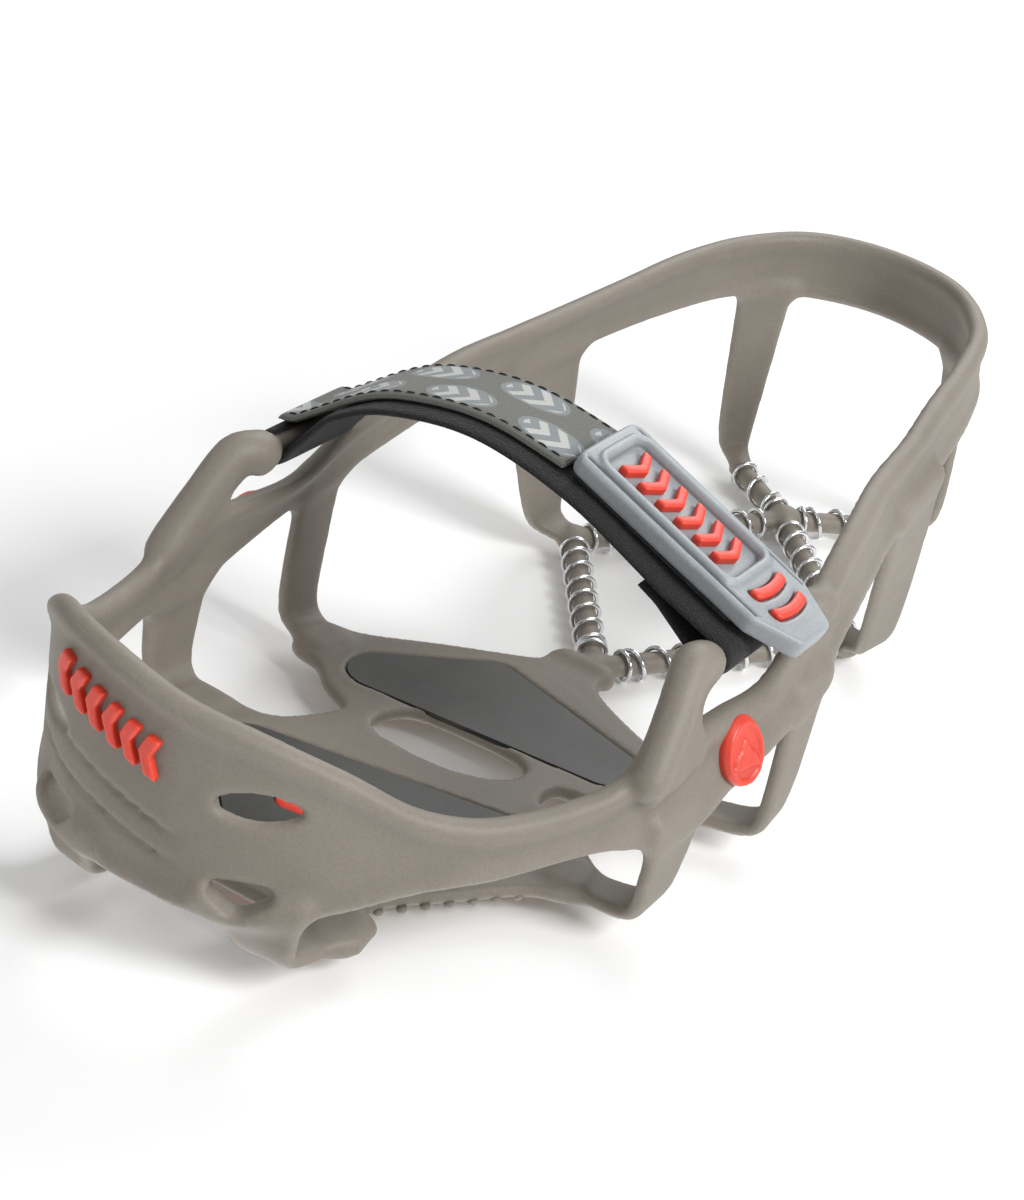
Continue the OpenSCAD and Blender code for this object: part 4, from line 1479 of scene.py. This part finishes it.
class SoleDetail:
    """Raised dots and ribs on the underside of the plates."""

    def __init__(self, maker: MeshMaker) -> None:
        """Builds the dots and the ribs.

        Args:
            maker: Makes their objects.
        """
        maker.make("sole_dots", self.dots(), Slot.ELASTOMER)
        ribs = [self.rib(line) for line in self.ribs()]
        maker.make("sole_ribs", gather(ribs), Slot.ELASTOMER)

    @staticmethod
    def dots() -> tuple:
        """Makes the low domes.

        Returns:
            Vertices and faces.
        """
        centres = np.vstack([np.linspace(start, stop, count) for start, stop, count in (
            ((-42, 235), (-21, 266), 9), ((-38.5, 235.5), (-19.5, 263), 8),
            ((-45, 234), (-24, 264.5), 8), ((17, 269), (34.5, 249.5), 9),
            ((19.8, 270.5), (22.6, 267.5), 2), ((-23, 212.5), (10.6, 222.5), 10),
            ((-14.3, 211.8), (25.6, 224.3), 13), ((5.3, 215), (21.6, 219.5), 6),
            ((-14.7, 191.4), (-4.5, 193), 4), ((-5.6, 190.4), (8, 194.4), 5))])
        theta = np.linspace(0.02, np.pi / 2, 6)
        profile = np.column_stack([np.sin(theta), -np.cos(theta)]) * np.array([1.15, 0.95])
        profile = np.vstack([profile, [1.15, 0.5]])[::-1]
        profile[:, 1] += LAY.plate_z + 0.1
        return turned(profile, centres, 12)

    @staticmethod
    def ribs() -> list:
        """Lays the ribs out in plan.

        Returns:
            Points of each rib.
        """
        lines = (
            ((-27, 231), (-21, 235), (-18, 240.5), (-16, 247)),
            ((-24.6, 229), (-18, 233), (-12, 237.5)),
            ((-24, 226), (-18, 228.5), (-12, 230), (-4, 231)),
            ((-24, 185), (-17, 183), (-8, 181.5), (2, 183), (11, 187), (22, 194)),
            ((-25, 183), (-17, 180), (-7, 178), (3, 179), (12, 181), (21, 186)),
            ((-26, 181), (-20, 177), (-13.5, 173), (-6, 170.5), (0, 170)),
            ((14, 174), (20, 177), (27, 182)))
        _, medial, toe = LAY.front_studs
        arcs = ((toe, 15, 215, 246), (toe, 12, 213, 263), (toe, 9.3, 210, 332),
                (medial, 12.8, 133, 200), (medial, 9.3, 122, 206))
        return [smooth_line(line, 6) for line in lines] + [arc(*row, 13) for row in arcs]

    @staticmethod
    def rib(line: np.ndarray) -> tuple:
        """Sweeps one round rib along the underside.

        Args:
            line: Points in plan.

        Returns:
            Vertices and faces.
        """
        z = np.full((len(line), 1), LAY.plate_z - 0.45)
        path = np.hstack([line, z])
        along = unit(np.gradient(path, axis=0))
        up = np.broadcast_to(UP, path.shape)
        share = np.linspace(0, 1, len(line))
        radius = 0.72 * np.sqrt(np.clip(1 - (2 * share - 1) ** 10, 0.02, 1))
        return tube(path, np.cross(along, up), up, radius, 10)


@dataclass
class StrapLine:
    """A strap's middle line in the x and z plane, with its width along y.

    Attributes:
        line: Points as x and z.
        width: Distance from edge to edge.
        centre: Middle of the width, as y.
        thick: Distance from face to face.
        wave: Height of the slow waves over the surface.
    """

    line: np.ndarray
    width: float
    centre: float
    thick: float
    wave: float = 0.12

    def dense(self, step: float = 0.9) -> np.ndarray:
        """Spaces the line evenly.

        Args:
            step: Distance between points.

        Returns:
            The points.
        """
        run = run_along(self.line)
        at = np.linspace(0, run[-1], int(run[-1] / step) + 2)
        return relax(np.column_stack([np.interp(at, run, row) for row in self.line.T]), 3)

    def frames(self) -> tuple:
        """Gives the line with its normals and its run.

        Returns:
            Points, unit normals, and the length up to each point.
        """
        p = self.dense()
        return p, left_of(unit(np.gradient(p, axis=0))), run_along(p)

    def skin(self) -> tuple:
        """Lofts the strap with rounded selvedges.

        Returns:
            Its vertices and faces, and its flat coordinates.
        """
        p, normal, run = self.frames()
        half_w, half_t = self.width / 2, self.thick / 2
        v = np.linspace(-1, 1, 25)
        edge = np.sqrt(np.clip(1 - np.abs(v) ** 14, 0.03, 1))
        across = np.concatenate([v, v[::-1][1:-1]])
        lift = np.concatenate([edge, -edge[::-1][1:-1]]) * half_t
        u = run[:, None]
        ends = np.minimum(run, run[-1] - run)[:, None]
        slow = np.sin(u / 7.3) * np.sin(across[None] * 2.1 + u / 19) * np.clip(ends / 8, 0, 1)
        offset = lift[None] * np.clip(0.55 + ends / 1.2, 0, 1) + self.wave * slow
        y = self.centre + half_w * across
        rings = np.stack([
            p[:, None, 0] + normal[:, None, 0] * offset,
            np.broadcast_to(y, offset.shape),
            p[:, None, 1] + normal[:, None, 1] * offset], -1)
        flat = np.stack(np.broadcast_arrays(u, half_w * across[None]), -1).reshape(-1, 2)
        flat = np.vstack([flat, [[0, 0], [run[-1], 0]]]) * MILLIMETRE
        return capped(rings), flat

    def stitches(self, inset: float, step: float, length: float, radius: float,
                 side: int) -> tuple:
        """Lays dashes of thread along both edges of one face.

        Args:
            inset: Distance from the edge.
            step: Distance from dash to dash.
            length: Length of a dash.
            radius: Radius of the thread.
            side: 1 for the face along the normals, -1 for the other.

        Returns:
            Vertices and faces.
        """
        p, normal, run = self.frames()
        bare, sides = 3.0, 6
        share = np.linspace(-1, 1, 6)
        thin = radius * np.sqrt(np.clip(1 - share**4, 0.08, 1))
        rise = self.thick / 2 + self.wave * 0.7 + (radius * 0.9 * (1 - share**2) - 0.1)
        reach = self.width / 2 - inset
        parts = []
        for y in (self.centre - reach, self.centre + reach):
            for m in np.arange(bare, run[-1] - bare, step):
                at = np.linspace(m - length / 2, m + length / 2, len(share))
                x, z, nx, nz = (np.interp(at, run, row) for row in (*p.T, *(normal.T * side)))
                path = np.column_stack([x + nx * rise, np.full(len(at), y), z + nz * rise])
                up = np.column_stack([nx, np.zeros(len(at)), nz])
                cross = unit(np.cross(unit(np.gradient(path, axis=0)), up))
                parts.append(tube(path, cross, up, thin, sides))
        return gather(parts)


@dataclass
class Straps:
    """The looped base strap and the printed upper strap.

    Attributes:
        maker: Makes their objects.
    """

    maker: MeshMaker

    @staticmethod
    def turn() -> float:
        """Gives the slope of the pull tab in radians."""
        fall, length = LAY.tab_fall, LAY.tab_len
        return math.atan2(fall, math.sqrt(length**2 - fall**2))

    @staticmethod
    def base_line() -> np.ndarray:
        """Gives the base strap's middle line.

        It starts with the sewn end, one layer under the strap, turns round the outer
        bar, crosses the instep and turns round the inner bar.

        Returns:
            Points as x and z.
        """
        over = smooth_line(LAY.instep, 8)
        along = unit(over[1:4] - over[:3])
        sewn = over[:3] - LAY.layer * left_of(along)
        return np.vstack([
            sewn[::-1], arc(LAY.lateral_bar, LAY.wrap, -52, -280, 20), over,
            arc(LAY.medial_bar, LAY.wrap, 190, 445, 24)])

    def upper_line(self) -> np.ndarray:
        """Gives the upper strap's middle line, one layer over the base strap.

        Returns:
            Points as x and z.
        """
        over = smooth_line(LAY.instep, 4)
        lifted = over[1:-1] + LAY.layer * left_of(unit(over[2:] - over[:-2]))
        turn = self.turn()
        end = [LAY.tab_at[0] + LAY.tab_t * math.sin(turn) + 1.0,
               LAY.tab_at[1] - LAY.tab_t * math.cos(turn) - LAY.gap]
        rise = arc(LAY.medial_bar, LAY.wrap + LAY.layer, 425, 460, 6)
        return np.vstack([rise, lifted[:4:-1], [end]])

    def build(self) -> None:
        """Builds both straps and the upper one's stitching."""
        base = StrapLine(self.base_line(), LAY.base_w, LAY.base_y, LAY.strap_t, wave=0.06)
        mesh, flat = base.skin()
        self.maker.make("base_strap_loop_pile", mesh, Slot.BLACK_WEBBING, ("base_strap",),
                        flat=flat)
        upper = StrapLine(self.upper_line(), LAY.strap_w, LAY.strap_y, LAY.strap_t, wave=0.05)
        mesh, flat = upper.skin()
        self.maker.make("upper_strap_webbing", mesh, Slot.PRINTED_WEBBING, ("upper_strap",),
                        Body.STRAP, flat)
        thread = upper.stitches(inset=1.9, step=3.4, length=2.5, radius=0.22, side=-1)
        self.maker.make("upper_strap_stitching", thread, Slot.BLACK_WEBBING, body=Body.STRAP,
                        material=self.maker.finishes.thread)


@dataclass
class PullTab:
    """The moulded pull tab with its raised marks and its hook patch.

    Attributes:
        maker: Makes its objects.
        step: Grid step in millimetres.
    """

    maker: MeshMaker
    step: float = 0.42

    @staticmethod
    def place(local: np.ndarray) -> np.ndarray:
        """Turns the tab's own frame into the layout.

        Args:
            local: Points with x towards the tip and z out of the face.

        Returns:
            Layout points.
        """
        t = Straps.turn()
        c, s = math.cos(t), math.sin(t)
        x = LAY.tab_at[0] - (local[:, 0] * c + local[:, 2] * s)
        y = LAY.strap_y - local[:, 1]
        z = LAY.tab_at[1] - local[:, 0] * s + local[:, 2] * c
        return np.column_stack([x, y, z])

    @staticmethod
    def outline() -> np.ndarray:
        """Gives the tab's outline before its corners are rounded.

        Returns:
            Corners in the tab's own frame.
        """
        w, n = LAY.strap_w / 2, LAY.tab_len
        return np.array([(3, w - 3), (n - 12, w - 3.5), (n - 3, w - 8), (n - 3, 8 - w),
                         (n - 12, 3.5 - w), (3, 3 - w)])

    def emit(self, name: str, solid: Field, slot: Slot, nodes: tuple) -> None:
        """Meshes a solid in the tab's frame and places it.

        Args:
            name: Name of the object.
            solid: The solid.
            slot: Its record slot.
            nodes: CAD nodes that it stands for.
        """
        verts, faces = solid.surface()
        self.maker.make(name, (self.place(verts), faces), slot, nodes, Body.TAB)

    def build(self) -> None:
        """Builds the tab, its marks and the hook patch."""
        low, high = (-2, -15, -7), (LAY.tab_len + 2, 15, 3)
        body, marks, arcs, patch = (Field(low, high, self.step) for _ in range(4))
        cut, grid = body.whole()
        x, y, z = grid
        n, w = LAY.tab_len, LAY.strap_w / 2
        flat = plan_distance(grid, self.outline()) - 3
        crown = 0.5 * (1 - (y / 12.5) ** 2)
        up = np.abs(z - crown / 2 + LAY.tab_t / 2) - LAY.tab_t / 2 - crown / 2
        body.add(cut, rounded_slab(flat, up, 1.0), 0.1)
        recess = ((7, w - 7), (n - 23, w - 7), (n - 23, 7 - w), (7, 7 - w))
        hole = plan_distance(grid, recess) - 2.2
        rim = np.abs(hole - 1.3) - 0.9
        body.add(cut, rounded_slab(rim, np.abs(z - 0.2) - 0.85, 0.5), 0.7)
        body.take(cut, np.maximum(hole, -1.25 - z), 0.7)
        bars = self.bars(x, y)
        body.take(cut, np.maximum(bars - 0.35, -0.5 - z), 0.5)
        grooves = np.abs(np.abs(y) - (w - 2.1)) - 0.42
        body.take(cut, np.maximum(np.maximum(grooves, -0.95 - z), flat + 1.4), 0.35)
        self.emit("tab_moulding", body, Slot.TAB, ("pull_tab",))

        chevrons = chevron_row(x, y, (10.8, (n - 30) / 6), 0.45, 1.25, 5.2)
        marks.add(cut, rounded_slab(chevrons, np.abs(z + 0.35) - 1.15, 0.4), 0.1)
        self.emit("tab_chevrons", marks, Slot.RED_RUBBER, ("tab_inlay",))
        arcs.add(cut, rounded_slab(bars, np.abs(z - 0.25) - 0.95, 0.45), 0.1)
        self.emit("tab_grip_arcs", arcs, Slot.RED_RUBBER, ("tab_grip_bars",))

        half = (n - 16) / 2
        side = np.maximum(np.abs(x - 1 - half) - half, np.abs(y) - w + 1)
        mid = -LAY.tab_t - LAY.patch_t / 2
        nap = 0.12 * np.sin(x * 3.4) * np.sin(y * 3.4)
        patch.add(cut, rounded_slab(side, np.abs(z - mid) - LAY.patch_t / 2 + 0.12 + nap, 0.3), 0.1)
        self.emit("tab_hook_patch", patch, Slot.HOOKS, ("hook_patch",))

    @staticmethod
    def bars(x: np.ndarray, y: np.ndarray) -> np.ndarray:
        """Measures the two curved bars near the tip.

        Args:
            x: Places towards the tip.
            y: Places across.

        Returns:
            Signed distance in the tab's plane.
        """
        near = np.full(np.broadcast(x, y).shape, FAR)
        for centre in (LAY.tab_len - 28, LAY.tab_len - 22):
            bow = np.hypot(x - centre, y * 0.9) - 14
            crest = np.maximum(np.abs(bow) - 1.35, centre + 4 - x)
            near = np.minimum(near, rounded_slab(crest, np.abs(y) - 6.3, 0.9))
        return near


@dataclass
class Emblems:
    """Generic red marks on the toe band and the side bands.

    Attributes:
        maker: Makes their objects.
        curtain: The bands' layout.
        step: Grid step in millimetres.
    """

    maker: MeshMaker
    curtain: Curtain
    step: float = 0.45

    def build(self) -> None:
        """Builds the toe marks and both badges."""
        self.toe()
        for name, x, y in (("lateral_badge", -70, 206), ("medial_badge", 62, 206)):
            self.badge(name, x, y)

    def toe(self) -> None:
        """Builds the slanted marks along the toe band."""
        solid = Field((-6, 300, 42), (34, 318, 74), self.step)
        cut, grid = solid.whole()
        near = self.curtain.sheet(grid)
        start, stop = self.curtain.run_at(1, 309), self.curtain.run_at(28, 305)
        u = (near["run"] - start) * np.sign(stop - start)
        rise = grid[2] - 51 - 0.34 * u
        plan = chevron_row(u, rise, (3.4, 4.4), 0.42, 1.35, 4.3)
        solid.add(cut, rounded_slab(plan, np.abs(near["off"] - 1.9) - 1.5, 0.5), 0.1)
        self.maker.make("toe_chevrons", solid.surface(), Slot.RED_RUBBER, ("toe_emblem",))

    def badge(self, name: str, x: float, y: float) -> None:
        """Builds an oval badge with a raised rim and three peaks.

        Args:
            name: CAD node that it stands for.
            x: Across place.
            y: Forward place.
        """
        height, half_w, half_h = 41.0, 6.6, 7.4
        solid = Field((x - 12, y - 13, height - 11), (x + 12, y + 13, height + 11), self.step)
        cut, grid = solid.whole()
        near = self.curtain.sheet(grid)
        u = near["run"] - self.curtain.run_at(x, y)
        up = grid[2] - height
        oval = (np.sqrt((u / half_w) ** 2 + (up / half_h) ** 2) - 1) * half_w
        solid.add(cut, rounded_slab(oval, np.abs(near["off"] - 1.9) - 1.9, 1.1), 0.1)
        rim = np.abs(oval + 1.1) - 0.55
        solid.add(cut, rounded_slab(rim, np.abs(near["off"] - 2.4) - 1.9, 0.4), 0.3)
        for shift, tall in ((-2.3, 0.6), (0, 3.2), (2.3, 0.6)):
            peak = np.maximum(np.abs(u - shift) * 1.7 + up - tall, -up - 3.2) * 0.55
            solid.add(cut, rounded_slab(peak, np.abs(near["off"] - 2.5) - 1.9, 0.35), 0.3)
        self.maker.make(f"{name}_mark", solid.surface(), Slot.RED_RUBBER, (name,))


@dataclass
class Studio:
    """Floor, light and camera.

    Attributes:
        azimuth: Camera's place round the object, in degrees.
        elevation: Its height over the horizon, in degrees.
        roll: Its turn about its own axis, in degrees.
        distance: Metres from the camera to the object's middle.
        aspect: Width of the picture against its height.
        fill: Share of the picture that the object spans.
        sensor: Length of the sensor's longer side, in millimetres.
    """

    azimuth: float = 207.34
    elevation: float = 28.57
    roll: float = 10.72
    distance: float = 0.62
    aspect: float = 1024.0 / 1200.0
    fill: float = 0.93
    sensor: float = 36.0

    def build(self) -> None:
        """Builds the stage."""
        self.floor()
        self.light()
        self.camera()

    def floor(self) -> None:
        """Lays a pale floor that can't be seen from below."""
        mesh = bpy.data.meshes.new("floor")
        size = 30.0
        mesh.from_pydata([(-size, -size, 0), (size, -size, 0), (size, size, 0), (-size, size, 0)],
                         [], [(0, 1, 2, 3)])
        graph = Graph("floor_paper")
        pale = graph.ramp(graph.noise(6.0, 3.0), 0.0, 1.0, (0.86,) * 3, (0.9,) * 3)
        graph.feed(graph.shader, {"Base Color": pale, "Roughness": 0.95,
                                  "Specular IOR Level": 0.1})
        behind = graph.node("NewGeometry").outputs["Backfacing"]
        shadow = graph.node("LightPath").outputs["Is Shadow Ray"]
        mix = graph.node("MixShader", {
            0: graph.math("MAXIMUM", behind, shadow), 1: graph.shader.outputs[0],
            2: graph.node("BsdfTransparent").outputs[0]})
        graph.feed(graph.tree.nodes["Material Output"], {"Surface": mix.outputs[0]})
        mesh.materials.append(graph.material)
        floor = bpy.data.objects.new("floor", mesh)
        floor.location = (0, 0, -0.0002)
        bpy.context.scene.collection.objects.link(floor)
        floor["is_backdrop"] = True

    @staticmethod
    def area(name: str, place: tuple, size: float, power: float) -> None:
        """Adds a soft square light that looks at the object.

        Args:
            name: Its name.
            place: Where it stands.
            size: Length of its side.
            power: Watts.
        """
        data = bpy.data.lights.new(name, "AREA")
        data.size = size
        data.energy = power
        light = bpy.data.objects.new(name, data)
        light.location = place
        light.rotation_mode = "QUATERNION"
        light.rotation_quaternion = (-Vector(place)).to_track_quat("-Z", "Y")
        bpy.context.scene.collection.objects.link(light)

    def light(self) -> None:
        """Sets the sky and the lamps."""
        world = bpy.data.worlds.new("studio")
        world.use_nodes = True
        sky = world.node_tree.nodes["Background"]
        sky.inputs[0].default_value = (1.0, 1.0, 1.0, 1)
        sky.inputs[1].default_value = 0.46
        bpy.context.scene.world = world
        for name, place, size, power in (
                ("key", (-1.15, 0.1, 0.95), 0.6, 21), ("fill", (0.8, 0.95, 0.7), 0.9, 3),
                ("rim", (0.2, -1.1, 0.9), 0.8, 9), ("under", (0.1, 0.1, -1.0), 0.9, 9)):
            self.area(name, place, size, power)
        bpy.context.scene.view_settings.view_transform = "Standard"

    @staticmethod
    def shown_points() -> np.ndarray:
        """Reads the vertices of every shown piece.

        Returns:
            The vertices, one a row.
        """
        rows = []
        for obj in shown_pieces():
            if obj.type == "MESH":
                co = np.empty(len(obj.data.vertices) * 3)
                obj.data.vertices.foreach_get("co", co)
                rows.append(co.reshape(-1, 3))
        return np.vstack(rows)

    def camera(self) -> None:
        """Sets the camera at the angle of the worn cleat and fills the frame with it."""
        a, e, r = (math.radians(v) for v in (self.azimuth, self.elevation, self.roll))
        back = np.array([math.sin(a) * math.cos(e), -math.cos(a) * math.cos(e), math.sin(e)])
        flat_right = np.array([math.cos(a), math.sin(a), 0.0])
        flat_up = np.cross(back, flat_right)
        right = flat_right * math.cos(r) + flat_up * math.sin(r)
        up = flat_up * math.cos(r) - flat_right * math.sin(r)
        points = self.shown_points()
        eye = (points.min(0) + points.max(0)) / 2 + back * self.distance
        for _ in range(4):
            deep = (eye - points) @ back
            flat = np.column_stack([(points - eye) @ right, (points - eye) @ up]) / deep[:, None]
            low, high = flat.min(0), flat.max(0)
            off = (low + high) / 2
            eye = eye + self.distance * (off[0] * right + off[1] * up)
        span = (high - low) / np.array([self.aspect, 1.0])
        data = bpy.data.cameras.new("camera")
        data.sensor_width = self.sensor
        data.lens = self.sensor * self.fill / float(span.max())
        data.clip_start = 0.02
        camera = bpy.data.objects.new("camera", data)
        turn = Matrix(np.column_stack([right, up, back]).tolist()).to_4x4()
        camera.matrix_world = Matrix.Translation(Vector(eye)) @ turn
        bpy.context.scene.collection.objects.link(camera)
        bpy.context.scene.camera = camera
        LOG.info("camera lens %.1f mm", data.lens)


def corners() -> list:
    """Gives the shown object's box as plain lists."""
    return [list(map(float, corner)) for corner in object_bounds()]


def main() -> None:
    """Builds the whole scene."""
    logging.basicConfig(level=logging.INFO, format="%(name)s: %(message)s")
    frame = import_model()
    finishes = Finishes()
    for node in ("front_insert_plate", "rear_insert_plate"):
        plate = frame["nodes"][node]
        plate.data.materials.clear()
        plate.data.materials.append(finishes[Slot.NYLON])
        soften(plate, 0.25)
    curtain = Curtain()
    maker = MeshMaker(finishes)
    Harness(maker, curtain).build()
    SoleDetail(maker)
    build_view_ring(maker)
    build_studs(maker)
    Coils(maker).build()
    Straps(maker).build()
    PullTab(maker).build()
    Emblems(maker, curtain).build()
    Studio().build()


if __name__ == "__main__":
    main()
